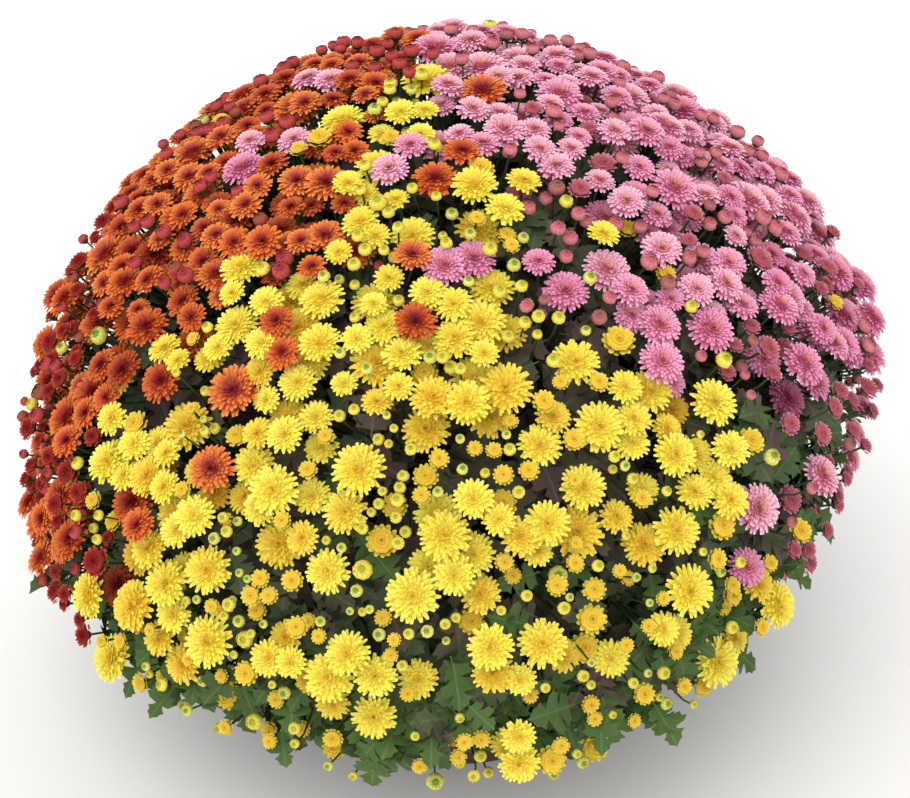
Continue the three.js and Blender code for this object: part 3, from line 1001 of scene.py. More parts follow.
@dataclass
class Growth:
    """All flowers of the plant, in their colours and tones."""

    planting: Planting
    shrink: float = 0.90  # size of a large flower against its solid
    seat: float = 0.24  # how far a large flower's middle is under its solid's, in shares of its radius
    held_back: float = 0.36  # size of a large flower that stays half-open, against its size when open
    drift: float = 4.5  # spread of the plants' edges
    yellow_buds: float = 0.06  # share of the buds among the other plants that are yellow
    green_buds: dict[Plant, float] = field(  # share of each plant's buds that are still green
        default_factory=lambda: {Plant.YELLOW: 0.34, Plant.ORANGE: 0.12, Plant.PINK: 0.16}
    )
    warm_growth: float = 1.25  # size of the orange and pink plants' closed flowers against the yellow one's
    sunward: tuple[float, float, float] = (0.0, -0.44, 0.9)
    lean: float = 0.42  # how far all flowers turn towards the sun
    invited: float = 4.0  # how near to a guest's place the blooms open
    surface_first: float = 0.3  # how much rather a guest is a large flower at the surface than a near one
    surfacing: float = 1.6  # over 1 brings more of the smaller flowers up to the plane of the blooms
    unruly: float = 1.3  # how unevenly the smaller flowers face, against the large ones
    overlap: float = 0.4  # share of two flowers' radii by which one over the other stands aside at least
    ages: tuple[float, ...] = (0.32, 0.68, 0.98, 1.22)  # ages at which a bloom's tone changes
    shade_depth: float = 0.06  # depth at which a bloom's tone is one step darker: painted shade of the dome's inside, on top of its age
    crown: tuple[float, float] = (0.6, 0.7)  # height from which the blooms take younger, paler tones, and how much: painted light on the dome's top
    skirt: tuple[float, float] = (75.0, 90.0)  # angles from its axis over which the blooms give way
    skirt_tilt: float = 6.0  # how far that axis leans to -X, where the blooms reach further down
    skirt_blooms: float = 0.12  # share of the blooms under it
    clearings: tuple[Clearing, ...] = (
        Clearing(54, 65, 12, 0.88),
        Clearing(40, 76, 10, 0.9),
        Clearing(30, 64, 8, 0.7),
        Clearing(68, 76, 12, 0.85),
        Clearing(62, 90, 18, 0.92),
        Clearing(19, 77, 6, 0.8),
        Clearing(7, 71, 5, 0.75),
        Clearing(-9, 70, 5, 0.7),
        Clearing(-20, 78, 6, 0.75),
        Clearing(27, 33, 10, 0.92),
        Clearing(-2, 26, 5, 0.6),
        Clearing(52, 37, 6, 0.55),
        Clearing(8, 36, 14, 0.26),
        Clearing(-20, 45, 5, 0.8),
        Clearing(-23, 39, 4, 0.6),
        Clearing(14, 45, 6, 0.75),
        Clearing(31, 44, 6, 0.75),
        Clearing(41, 32, 5, 0.7),
        Clearing(64, 38, 5, 0.5),
        Clearing(0, 81, 8, 0.85),
    )
    fillings: tuple[Filling, ...] = (
        Filling(Form.BLOOM, 460, 20000, 0.0115, 0.0165, 99, 0.028, 0.0, -0.05, 0.58, 0.32, 1.0),
        Filling(Form.BLOOM, 200, 9000, 0.0095, 0.0135, 52, 0.016, 0.0, -9.0, 0.62, 0.36, 1.4),
        Filling(Form.HALF, 290, 12000, 0.0050, 0.0084, 102, 0.018, 0.001, -9.0, 0.86, 0.7, 1.1, 0.45),
        Filling(Form.BUD, 220, 9000, 0.0036, 0.0050, 46, 0.012, 0.005, -9.0, 0.9, 0.6, 0.5),
        Filling(Form.BUD, 340, 16000, 0.0028, 0.0048, 106, 0.014, 0.004, -9.0, 1.0, 1.5, 1.4, 0.75),
    )
    flowers: list[Flower] = field(default_factory=list)
    crowd: Crowd | None = None

    def grow(self) -> None:
        """Takes over the large flowers, fills the dome between them, and hands each flower to its spray."""
        rng = np.random.default_rng(SEED)
        self.crowd = Crowd(len(self.planting.flowers) + sum(filling.count for filling in self.fillings))
        for flower in self.planting.flowers:
            flower.radius *= self.shrink
            flower.centre -= flower.facing * self.seat * flower.radius
            flower.facing = self._turned(flower.facing)
            d = flower.outward
            if flower.form is Form.BLOOM and rng.random() > self.openness(d) and not self._invited(d):
                flower.form = Form.HALF
                flower.radius *= self.held_back * self._vigour(flower.form, d)
            self._keep(flower)
        for filling in self.fillings:
            self._fill(rng, filling)
        for flower in self.flowers:
            self._colour(rng, flower)
        self._invite()
        for flower in self.flowers:
            self.planting.sprays[flower.spray].flowers.append(flower)

    def _keep(self, flower: Flower) -> None:
        """Adds a flower to the dome."""
        self.crowd.add(flower, flower.radius)
        self.flowers.append(flower)

    def _vigour(self, form: Form, d: np.ndarray) -> float:
        """Returns what the size of a flower of a form is multiplied by in a direction."""
        closed = form is not Form.BLOOM
        return self.warm_growth if closed and self.planting.canopy.plant_at(d) is not Plant.YELLOW else 1.0

    def _invited(self, d: np.ndarray) -> bool:
        """Tells whether a bloom of another plant opens in a direction."""
        near = math.cos(math.radians(self.invited))
        return any(guest.form is Form.BLOOM and np.dot(d, guest.outward) > near for guest in GUESTS)

    def _turned(self, facing: np.ndarray) -> np.ndarray:
        """Returns the way a flower faces once it has turned towards the sun."""
        return unit(facing + self.lean * np.array(self.sunward))

    def openness(self, d: np.ndarray) -> float:
        """Returns the share of its blooms that the dome has in a direction."""
        fall = angle_between(d, direction(-90, self.skirt_tilt))
        share = float(np.interp(fall, self.skirt, (1.0, self.skirt_blooms)))
        for clearing in self.clearings:
            away = angle_between(d, direction(clearing.azimuth, clearing.polar))
            share *= 1 - clearing.bare * math.exp(-((away / clearing.spread) ** 4))
        return share

    def _fill(self, rng: np.random.Generator, filling: Filling) -> None:
        """Places the smaller flowers of one form."""
        canopy = self.planting.canopy
        placed = 0
        for drawn in rng.random((filling.tries, 9)):
            d = on_cap(drawn[0], drawn[1], filling.lowest)
            if canopy.bareness(d) < filling.bare_below:
                continue
            share = filling.on_yellow if canopy.plant_at(d) is Plant.YELLOW else 1.0
            if drawn[8] > share * self.openness(d) ** filling.thinning:
                continue
            depth = mix(-filling.proud, filling.deepest, drawn[2] ** self.surfacing)
            radius = mix(filling.least, filling.most, drawn[3]) * self._vigour(filling.form, d)
            centre = CENTRE + d * (canopy.reach(d) - depth)
            facing = self._turned(self.planting.facing(d, (drawn[4:7] - 0.5) * self.unruly))
            turn, spray = math.tau * drawn[7], self.planting.nearest_spray(d)
            flower = Flower(filling.form, centre, facing, radius, turn, spray, depth=depth)
            near, across, along = self.crowd.apart(flower, self.planting.nearby)
            radii = self.crowd.radii[near] + radius
            over = (along >= filling.layering * radii) & (across >= self.overlap * radii)
            if np.any((across < filling.packing * radii) & ~over):
                continue
            self._keep(flower)
            placed += 1
            if placed == filling.count:
                break
        log.info("%s: %d fill the dome", filling.form.value, placed)

    def _colour(self, rng: np.random.Generator, flower: Flower) -> None:
        """Gives a flower its plant and its tone, which adds painted shade to deep blooms and painted light to
        those near the top.
        """
        drift, age, wander = rng.normal(0.0, self.drift), rng.random(), rng.random()
        flower.plant = self.planting.canopy.plant_at(flower.outward, drift)
        if flower.form is Form.BUD and wander < self.yellow_buds:
            flower.plant = Plant.YELLOW
        if flower.form is Form.HALF:
            flower.tone = Tone.OPENING
        elif flower.form is Form.BUD:
            flower.tone = Tone.GREEN_BUD if age < self.green_buds[flower.plant] else Tone.COLOURED_BUD
        else:
            # Painted shade: deeper blooms take darker tones. Painted light: blooms near the top take paler
            # ones.
            height, younger = self.crown
            top = max(0.0, float(flower.outward[2]) - height)
            age_and_painted_shade = age + flower.depth / self.shade_depth - younger * top
            flower.tone = Tone(int(np.searchsorted(self.ages, age_and_painted_shade)))

    def _invite(self) -> None:
        """Gives the flowers nearest to the guests' places the guests' plants."""
        outward = np.array([flower.outward for flower in self.flowers])
        depths = np.array([flower.depth for flower in self.flowers])
        radii = np.array([flower.radius for flower in self.flowers])
        forms = np.array([flower.form.value for flower in self.flowers])
        taken: set[int] = set()
        for guest in GUESTS:
            cost = 1 - outward @ guest.outward + (depths - radii) * self.surface_first
            cost[forms != guest.form.value] = np.inf
            cost[list(taken)] = np.inf
            chosen = int(np.argmin(cost))
            taken.add(chosen)
            self.flowers[chosen].plant = guest.plant


# --- Flowers ---


@dataclass(frozen=True)
class Habit:
    """How one form of flower on one plant holds its petals. Lengths are shares of the flower's radius."""

    rings: tuple[int, ...]  # petals in each ring of a large flower, from the rim to the heart
    length: tuple[float, float]  # at the rim and in the heart
    width: float
    rim_angles: tuple[float, float]  # above the flower's plane at the base and at the tip
    heart_angles: tuple[float, float]
    opening: float  # how fast the petals rise from rim to heart: under 1 is a dome
    cup: float
    calyx: float  # radius
    unevenness: float

    def feet(self, inward: np.ndarray, out: np.ndarray, high: np.ndarray) -> tuple[np.ndarray, np.ndarray]:
        """Places the petals' feet.

        Args:
            inward: How far each petal is from the rim to the heart.
            out: How far its tip stands out from its foot.
            high: How high its tip stands above its foot.

        Returns:
            The distance of the feet from the flower's axis, and their height.
        """
        raise NotImplementedError

    def cushion(self) -> tuple[np.ndarray, np.ndarray]:
        """Returns the radii and heights of the rings of the mass under the petals. The last is a point."""
        raise NotImplementedError


@dataclass(frozen=True)
class Cupped(Habit):
    """Petals that close over the flower from their feet."""

    seat: float  # how far from the axis the outermost petals start
    foot: float  # height of the outermost petals' base
    rise: float  # height of the innermost petals' base above it

    def feet(self, inward: np.ndarray, out: np.ndarray, high: np.ndarray) -> tuple[np.ndarray, np.ndarray]:
        """Returns the distance of the feet from the flower's axis, and their height."""
        return self.seat * (1 - 0.5 * inward), self.foot + self.rise * inward

    def cushion(self) -> tuple[np.ndarray, np.ndarray]:
        """Returns the radii and heights of the rings of the mass under the petals."""
        return np.array([0.82, 0.55, 0.0]), np.array([0.45, 0.62, 0.70])


@dataclass(frozen=True)
class Domed(Habit):
    """Petals whose tips lie on a dome, ring within ring, over a cushion of inner petals."""

    height: float
    dimple: float
    crowding: float = 0.95  # over 1 crowds the tips at the rim

    def dome(self, radius: np.ndarray) -> np.ndarray:
        """Returns the height of the dome at a distance from the axis."""
        return self.height * np.sqrt(np.clip(1 - radius**2, 0, 1)) - self.dimple * (1 - radius) ** 4

    def feet(self, inward: np.ndarray, out: np.ndarray, high: np.ndarray) -> tuple[np.ndarray, np.ndarray]:
        """Returns the distance of the feet from the flower's axis, and their height."""
        radius = 1 - 0.95 * inward**self.crowding
        return radius - out, self.dome(radius) - high

    def cushion(self) -> tuple[np.ndarray, np.ndarray]:
        """Returns the radii and heights of the rings of the mass under the petals."""
        radii = np.array([0.78, 0.6, 0.3, 0.0])
        return radii, self.dome(radii * 1.06) - 0.14 - np.array([0.02, 0.0, 0.0, 0.0])


BUD_HABIT = Cupped((10, 7), (2.05, 1.35), 0.70, (-4, 158), (10, 165), 1.0, 0.1, 0.86, 0.35, 0.2, -0.7, 0.55)
HABITS: dict[tuple[Plant, Form], Habit] = {
    (Plant.YELLOW, Form.BLOOM): Domed(
        (24, 23, 21, 18, 14, 9, 5), (0.68, 0.3), 0.215, (14, -10), (58, 84), 0.9, 0.3, 0.4, 1.25, 0.44, 0.1
    ),
    (Plant.ORANGE, Form.BLOOM): Domed(
        (25, 24, 22, 19, 14, 10, 6), (0.68, 0.3), 0.205, (14, -8), (58, 84), 0.9, 0.3, 0.4, 1.25, 0.42, 0.12
    ),
    (Plant.PINK, Form.BLOOM): Domed(
        (28, 27, 25, 22, 18, 13, 7), (0.62, 0.28), 0.20, (12, -16), (58, 80), 0.9, 0.32, 0.4, 1.0, 0.5, 0.1
    ),
    (Plant.YELLOW, Form.HALF): Domed(
        (14, 13, 11, 8, 4), (0.62, 0.3), 0.38, (20, 34), (66, 110), 0.8, 0.2, 0.5, 1.0, 0.62, 0.26
    ),
    (Plant.ORANGE, Form.HALF): Domed(
        (14, 13, 11, 8, 4), (0.62, 0.3), 0.36, (20, 30), (66, 106), 0.8, 0.2, 0.5, 1.0, 0.6, 0.22
    ),
    (Plant.PINK, Form.HALF): Domed(
        (16, 15, 12, 9, 5), (0.62, 0.3), 0.33, (18, 26), (66, 106), 0.8, 0.2, 0.5, 1.0, 0.6, 0.22
    ),
    **{(plant, Form.BUD): BUD_HABIT for plant in PLANTS},
}
# The heights at which the calyx starts and ends, in shares of the flower's radius.
CALYX = {Form.BUD: (-0.95, -0.28), Form.HALF: (-0.5, 0.0), Form.BLOOM: (-0.42, -0.1)}


@dataclass(frozen=True)
class Blade:
    """The few points that one petal is drawn with: where they lie along and across it, and its triangles."""

    along: tuple[float, ...]
    across: tuple[float, ...]  # shares of half the petal's width
    faces: tuple[tuple[int, int, int], ...]


CREASED_BLADE = Blade(
    along=(0.0, 0.62, 0.62, 0.62, 1.0, 1.0),
    across=(0.0, -1.0, 0.0, 1.0, -0.42, 0.42),
    faces=((0, 1, 2), (0, 2, 3), (1, 4, 2), (2, 4, 5), (2, 5, 3)),
)
PLAIN_BLADE = Blade(
    along=(0.0, 0.66, 0.66, 1.0, 1.0),
    across=(0.0, -1.0, 1.0, -0.38, 0.38),
    faces=((0, 1, 2), (1, 3, 4), (1, 4, 2)),
)
WRAPPED_BLADE = Blade(
    along=(0.0, 0.48, 0.48, 0.84, 0.84, 1.0),
    across=(0.0, -1.0, 1.0, -0.84, 0.84, 0.0),
    faces=((0, 1, 2), (1, 3, 4), (1, 4, 2), (3, 5, 4)),
)


@dataclass
class Heads:
    """Makes the petals and calyx of a flower."""

    full_size: float = 0.0165  # radius from which a flower has all its petals
    small_size: float = 0.009
    fewest: float = 0.7  # share of its petals that a small flower has
    creased_from: float = 0.0148  # radius
    stripe: float = 0.028  # how far a tone's stripe of the map is used across one petal
    ring_turn: float = 0.7  # angle in radians by which each ring is turned against the last
    heart_narrowing: float = 0.3  # how much narrower the petals of the heart are
    tip_tilt: float = 1.6  # how much more a petal's tip is tilted by chance than its foot
    turn_spread: float = 0.05  # this and the next four: how unevenly the petals stand and grow
    ring_spread: float = 0.026
    tilt_spread: float = 4.0
    length_spread: float = 0.04
    width_spread: float = 0.07
    cushion_sides: int = 8
    calyx_waist: tuple[float, float] = (0.45, 0.85)  # how far up the calyx it is, and its width there

    @staticmethod
    def _place(flower: Flower, along: np.ndarray, outward: np.ndarray) -> np.ndarray:
        """Gives the places of points of a flower on the map.

        Args:
            flower: The flower.
            along: How far they are along a petal.
            outward: How far they are from the flower's heart.

        Returns:
            The places.
        """
        level = flower.tone.value + np.clip(0.06 + 0.88 * outward, 0.03, 0.97)
        along = np.broadcast_to(np.clip(along, 0.02, 0.98), level.shape)
        return np.stack([along, (PLANTS.index(flower.plant) + level / TONES) / len(PLANTS)], axis=-1)

    @staticmethod
    def _stand(flower: Flower, x: np.ndarray, y: np.ndarray, z: np.ndarray) -> np.ndarray:
        """Returns points given across and above a flower, in shares of its radius, as points in the scene."""
        first, second = square_to(flower.facing)
        offsets = x[..., None] * first + y[..., None] * second + z[..., None] * flower.facing
        return (flower.centre + offsets * flower.radius).reshape(-1, 3)

    def _blade(self, flower: Flower) -> Blade:
        """Returns the points that a flower's petals are drawn with."""
        if flower.form is Form.BUD:
            return WRAPPED_BLADE
        return CREASED_BLADE if flower.radius > self.creased_from else PLAIN_BLADE

    def _fullness(self, flower: Flower) -> float:
        """Returns the share of its petals that a flower has at its size."""
        if flower.form is not Form.BLOOM:
            return 1.0
        grown = (flower.radius - self.small_size) / (self.full_size - self.small_size)
        return mix(self.fewest, 1.0, min(1.0, max(0.0, grown)))

    def petals(self, flower: Flower, draft: Draft, rng: np.random.Generator) -> None:
        """Adds a flower's petals to its spray's draft."""
        habit, blade, share = HABITS[flower.plant, flower.form], self._blade(flower), self._fullness(flower)
        rings = [max(3, round(count * share)) for count in habit.rings]
        count = sum(rings)

        def uneven(spread: float) -> np.ndarray:
            """Returns a number for each petal, drawn around 0."""
            return rng.normal(0, spread, count) * habit.unevenness

        turns = [(np.arange(n) + 0.5 * k) * math.tau / n + self.ring_turn * k for k, n in enumerate(rings)]
        around = np.concatenate(turns) + flower.turn + uneven(self.turn_spread)
        inward = np.repeat(np.arange(len(rings)) / (len(rings) - 1), rings)  # 0 at the rim, 1 at the heart
        inward = np.clip(inward + uneven(self.ring_spread), 0, 1)
        lift = inward**habit.opening
        tilt = uneven(self.tilt_spread)
        start = np.radians(mix(habit.rim_angles[0], habit.heart_angles[0], lift) + tilt)
        end = np.radians(mix(habit.rim_angles[1], habit.heart_angles[1], lift) + tilt * self.tip_tilt)
        length = mix(*habit.length, inward) * (1 + uneven(self.length_spread))
        narrowed = 0.5 * habit.width * (1 - self.heart_narrowing * inward)
        half_width = narrowed * (1 + uneven(self.width_spread)) / share

        out, high, reached = 0.0, 0.0, 0.0
        spots = []
        for along, across in zip(blade.along, blade.across):
            step = (along - reached) * length
            middle = mix(start, end, (along + reached) / 2)
            out, high = out + step * np.cos(middle), high + step * np.sin(middle)
            reached = along
            angle = mix(start, end, along)
            wide = half_width * across
            raised = np.abs(wide) * habit.cup
            spots.append((out - raised * np.sin(angle), high + raised * np.cos(angle), wide))
        across, above, beside = (np.stack(values, axis=1) for values in zip(*spots))
        foot_out, foot_high = habit.feet(inward, out, high)
        across, above = across + foot_out[:, None], above + foot_high[:, None]

        cos, sin = np.cos(around)[:, None], np.sin(around)[:, None]
        points = self._stand(flower, across * cos - beside * sin, across * sin + beside * cos, above)
        faces = np.array(blade.faces)[None] + len(blade.along) * np.arange(count)[:, None, None]
        outward = 1 - inward[:, None] + np.array(blade.across) * self.stripe
        places = self._place(flower, np.array(blade.along), outward)
        draft.add(points, faces.reshape(-1, 3), places.reshape(-1, 2), PLANTS.index(flower.plant))
        self._cushion(flower, habit, draft)

    def _cushion(self, flower: Flower, habit: Habit, draft: Draft) -> None:
        """Adds the closed mass of inner petals that the tips stand out of."""
        sides = self.cushion_sides
        radii, heights = habit.cushion()
        rings = len(radii) - 1
        angles = circle_angles(sides) + flower.turn
        x = np.append(np.outer(radii[:-1], np.cos(angles)), 0.0)
        y = np.append(np.outer(radii[:-1], np.sin(angles)), 0.0)
        z = np.append(np.repeat(heights[:-1], sides), heights[-1])
        edge = np.arange(sides) + (rings - 1) * sides
        cap = np.column_stack([edge, np.roll(edge, -1), np.full(sides, rings * sides)])
        places = self._place(flower, np.array(0.35), np.hypot(x, y))
        faces = np.vstack([ring_faces(rings, sides), cap])
        draft.add(self._stand(flower, x, y, z), faces, places, PLANTS.index(flower.plant))

    def calyx(self, flower: Flower, draft: Draft, neck: float) -> None:
        """Adds the green cup that holds a flower's petals.

        Args:
            flower: The flower.
            draft: The draft of its spray's leaves and stalks.
            neck: The radius of its stalk.
        """
        low, high = CALYX[flower.form]
        waist, narrow = self.calyx_waist
        wide = HABITS[flower.plant, flower.form].calyx * flower.radius
        heights = np.array([low, mix(low, high, waist), high]) * flower.radius
        path = flower.centre + np.outer(heights, flower.facing)
        add_tube(draft, path, np.array([neck, wide * narrow, wide]), CALYX_STRIP)


# --- Leaves and stems ---


class LeafShape:
    """The points and faces of a flat leaf of length 1."""

    def __init__(self, *half: tuple[float, float]) -> None:
        """Lays both halves out beside the rib.

        Args:
            half: The outline of one half, from foot to tip, as places along and across the leaf.
        """
        x, y = np.array(half).T
        rows = ((x * 0.96, 0 * x), (x, y), (x, -y))
        self.flat = np.concatenate([np.column_stack(row) for row in rows])
        k = np.arange(len(x) - 1)
        left, right = k + len(x), k + 2 * len(x)
        corners = ((k, k + 1, left + 1), (k, left + 1, left), (k, right, right + 1), (k, right + 1, k + 1))
        self.faces = np.vstack([np.column_stack(three) for three in corners])


LOBED_LEAF = LeafShape(
    *((0.00, 0.012), (0.14, 0.020), (0.17, 0.13), (0.18, 0.25), (0.26, 0.24), (0.30, 0.32), (0.37, 0.25)),
    *((0.38, 0.09), (0.44, 0.20), (0.47, 0.36), (0.55, 0.33), (0.60, 0.41), (0.665, 0.30), (0.67, 0.10)),
    *((0.73, 0.16), (0.78, 0.25), (0.83, 0.17), (0.90, 0.16), (0.94, 0.07), (1.00, 0.00)),
)
PLAIN_LEAF = LeafShape(
    *((0.0, 0.02), (0.16, 0.28), (0.31, 0.14), (0.5, 0.40), (0.63, 0.16), (0.79, 0.25), (1.0, 0.0)),
)


@dataclass(frozen=True)
class Lie:
    """How leaves of one kind lie in the dome."""

    tries: int
    lowest: float  # polar angle
    depth: tuple[float, float]  # under the plane of the blooms
    skyward: float  # how far their upper faces turn up from the dome's surface
    jitter: float  # how unevenly they do so
    outward: float  # how far they point out of the dome
    hang: float  # how far they point down


@dataclass
class Foliage:
    """Lobed leaves, and the stems and stalks that carry leaves and flowers."""

    growth: Growth
    inner: Lie = Lie(2700, 111, (0.022, 0.12), 0.4, 0.35, 0.45, 0.2)
    cover: Lie = Lie(2600, 104, (0.01, 0.04), 0.5, 0.3, 0.5, 0.3)  # of leaves that show in the clearings
    uncovered: float = 0.12  # share of them that are missing where no bloom is open
    deepening: float = 1.3  # over 1 brings more of the inner leaves near to the surface
    painted_light_from: float = 72.0  # polar angle from which on the inner leaves take lighter rows: less painted shade towards the dome's lower edge
    painted_light_step: float = 18.0  # angle for each step of painted light
    crown_painted_shade: int = 2  # how many rows of painted shade darker the covering leaves are in the dome's upper part
    set_back: float = 0.4  # how far a leaf's foot lies behind its place, in lengths of the smallest leaf
    fringe: int = 620  # leaves that hang along the dome's lower edge
    fringe_span: tuple[float, float] = (86, 102.5)  # polar angles
    fringe_depth: tuple[float, float] = (0.018, 0.056)
    length: tuple[float, float] = (0.026, 0.042)
    deep_growth: float = 5.0  # how much larger a leaf is, for each metre that it lies deeper
    fold: tuple[float, float] = (0.1, 0.5)  # how far the halves rise from the rib
    droop: tuple[float, float] = (0.0, 0.45)
    waves: tuple[float, float] = (0.22, 9.0)  # how high the blade's edge waves, and how fast
    sheet_use: tuple[float, float, float] = (0.08, 0.84, 1.1)  # start, length and width of a leaf in its cell
    lobed_above: float = 0.052  # depth in the dome down to which leaves show their full outline
    open_above: float = 0.015  # height over a flower that no leaf covers
    open_beside: float = 0.9  # how near to a flower's axis no leaf lies, in shares of its radius
    open_below: float = 0.3  # how far under a flower no leaf lies, in shares of its radius
    stem_radius: float = 0.0034
    stem_taper: float = 0.62  # its radius at the top against that at the foot
    stem_foot: float = 0.016  # how deep a stem stands in the soil
    stem_knee: float = 0.17  # height at which an upright stem bends
    stem_rise: float = 0.048  # how much higher a stem of the lower edge bends
    stalk_radius: float = 0.0011
    bud_stalk: float = 0.75  # radius of a bud's stalk against a flower's
    stalk_taper: tuple[float, ...] = (1.7, 1.15, 1.05, 1.0, 1.0)  # its radii from foot to neck
    stalk_knee: tuple[float, float] = (0.34, 0.8)  # how far it leans to the spray's axis, and how high it is
    crook: float = 0.45  # share of a stalk's last stretch that runs along its flower's axis
    core_outer: float = 0.82
    core_inner: float = 0.47
    core_depth: float = 0.034  # least thickness of the leafy core
    pot_clear: float = 0.172  # radius that the leafy cores keep free for the pot
    pot_clear_below: float = 65.0  # polar angle
    crown_spread: float = 0.112

    def leaf(
        self,
        draft: Draft,
        foot: np.ndarray,
        along: np.ndarray,
        normal: np.ndarray,
        light: int,
        depth: float,
        rng: np.random.Generator,
    ) -> None:
        """Adds a leaf, unless it would run through a flower.

        Args:
            draft: The draft of its spray's leaves.
            foot: Where it starts.
            along: The way that it points.
            normal: The way that its upper face looks, roughly.
            light: The row of the leaf finish that it takes its painted light and shade from, 0 for the
                darkest painted shade.
            depth: How deep it lies in the dome. Deeper leaves are larger and plainer.
            rng: The stream that its size, folds and shade are drawn from.
        """
        shape = LOBED_LEAF if depth < self.lobed_above else PLAIN_LEAF
        along = unit(along)
        side = unit(np.cross(normal, along))
        normal = np.cross(along, side)
        size = rng.uniform(*self.length) * (1 + self.deep_growth * depth)
        x, y = shape.flat.T
        fold, droop, phase = rng.uniform(*self.fold), rng.uniform(*self.droop), rng.uniform(0, math.tau)
        height, pace = self.waves
        lift = fold * np.abs(y) - droop * x * x + height * np.sin(pace * x + phase) * np.abs(y)
        points = foot + size * (np.outer(x, along) + np.outer(y, side) + np.outer(lift, normal))
        start, long, wide = self.sheet_use
        columns = (rng.integers(0, LEAF_CELLS) + start + long * x) / LEAF_CELLS
        rows = LEAF_SHEET * (light + 0.5 + wide * y) / LEAF_CELLS
        if not self._meets_flower(points):
            draft.add(points, shape.faces, np.column_stack([columns, rows]), LEAF_MATERIAL)

    def _meets_flower(self, points: np.ndarray) -> bool:
        """Tells whether any of a leaf's points lies in a flower or close over it."""
        crowd = self.growth.crowd
        away = np.linalg.norm(crowd.centres[: crowd.count] - points.mean(axis=0), axis=1)
        near = np.flatnonzero(away < self.growth.planting.nearby)
        offsets = points[:, None] - crowd.centres[near]
        radii = crowd.radii[near]
        along = np.einsum("ijk,jk->ij", offsets, crowd.facings[near])
        across = np.sqrt(np.maximum(0.0, np.einsum("ijk,ijk->ij", offsets, offsets) - along**2))
        high = (along > -self.open_below * radii) & (along < radii + self.open_above)
        return bool(np.any((across < self.open_beside * radii) & high))

    def _lay(self, lie: Lie, d: np.ndarray, rng: np.random.Generator) -> tuple[np.ndarray, np.ndarray]:
        """Returns the way that a leaf points and the way that its upper face looks."""
        normal = d + lie.skyward * UP + rng.normal(0, lie.jitter, 3)
        along = unit(np.cross(d, rng.normal(0, 1, 3))) + lie.outward * d - lie.hang * UP
        return along, normal

    def place_leaves(self, drafts: list[Draft], rng: np.random.Generator) -> None:
        """Adds the leaves inside the dome, those that cover its clearings, and those along its lower edge,
        each in a row of painted light and shade.
        """
        canopy, nearest = self.growth.planting.canopy, self.growth.planting.nearest_spray
        for _ in range(self.inner.tries):
            d = on_cap(rng.random(), rng.random(), self.inner.lowest)
            depth = mix(*self.inner.depth, rng.random() ** self.deepening)
            along, normal = self._lay(self.inner, d, rng)
            foot = CENTRE + d * max(0.1, canopy.reach(d) - depth) - self.set_back * along * self.length[0]
            # Painted shade: the inner leaves are darkest, and lighter towards the dome's lower edge.
            lower = max(0.0, (place_of(d)[1] - self.painted_light_from) / self.painted_light_step)
            light = min(3, int(rng.random() * 1.4 + lower))
            self.leaf(drafts[nearest(d)], foot, along, normal, light, depth, rng)
        for _ in range(self.cover.tries):
            d = on_cap(rng.random(), rng.random(), self.cover.lowest)
            if rng.random() < self.growth.openness(d) + self.uncovered:
                continue
            along, normal = self._lay(self.cover, d, rng)
            depth = rng.uniform(*self.cover.depth)
            foot = CENTRE + d * (canopy.reach(d) - depth) - self.set_back * along * self.length[0]
            # Painted shade: the covering leaves in the dome's upper part take darker rows.
            shaded = self.crown_painted_shade if d[2] > 0.5 else 0
            light = max(0, int(rng.integers(1, 4)) - shaded)
            self.leaf(drafts[nearest(d)], foot, along, normal, light, 0.0, rng)
        for _ in range(self.fringe):
            d = direction(rng.uniform(-180, 180), rng.uniform(*self.fringe_span))
            outward = unit(d * (1, 1, 0))
            along = outward + rng.normal(0, 0.5, 3) - rng.uniform(0.1, 1.0) * UP
            foot = CENTRE + d * (canopy.reach(d) - rng.uniform(*self.fringe_depth))
            # Painted light: the fringe leaves take the two lightest rows.
            light = int(rng.integers(2, 4))
            self.leaf(drafts[nearest(d)], foot, along, UP + 0.8 * outward, light, 0.0, rng)

    def core_span(self, d: np.ndarray) -> tuple[float, float]:
        """Returns how far from the dome's centre a spray's leafy core starts and ends."""
        reach = self.growth.planting.canopy.reach(d)
        low = d[2] < math.cos(math.radians(self.pot_clear_below))
        beside_pot = self.pot_clear / math.hypot(d[0], d[1]) if low else 0.0
        inner = max(self.core_inner * reach, beside_pot)
        return inner, max(self.core_outer * reach, inner + self.core_depth)

    def stem(self, spray: Spray, draft: Draft, soil: Soil) -> np.ndarray:
        """Adds a spray's main stem, which rises from its hole in the soil and bends out.

        Args:
            spray: The spray.
            draft: The draft of its leaves and stems.
            soil: The soil that it stands in.

        Returns:
            The top of the stem, where the stalks part.
        """
        d = spray.direction
        outward = unit(np.array([d[0], d[1], 0.0]))
        lowest = self.growth.planting.spray_lowest
        stand = self.crown_spread * math.sqrt((1 - d[2]) / (1 - math.cos(math.radians(lowest))))
        foot = outward * stand + UP * (soil.height_at(stand) - self.stem_foot)
        bend = outward * stand + UP * (self.stem_knee + self.stem_rise * (place_of(d)[1] / lowest) ** 2)
        inner, outer = self.core_span(d)
        end = CENTRE + d * mix(inner, outer, 0.4)
        path = np.array([foot, mix(foot, bend, 0.45), *curve(foot, bend, end, 0.5, 0.75, 1.0)])
        radii = self.stem_radius * np.linspace(1.0, self.stem_taper, len(path))
        add_tube(draft, path, radii, STEM_STRIP)
        return end

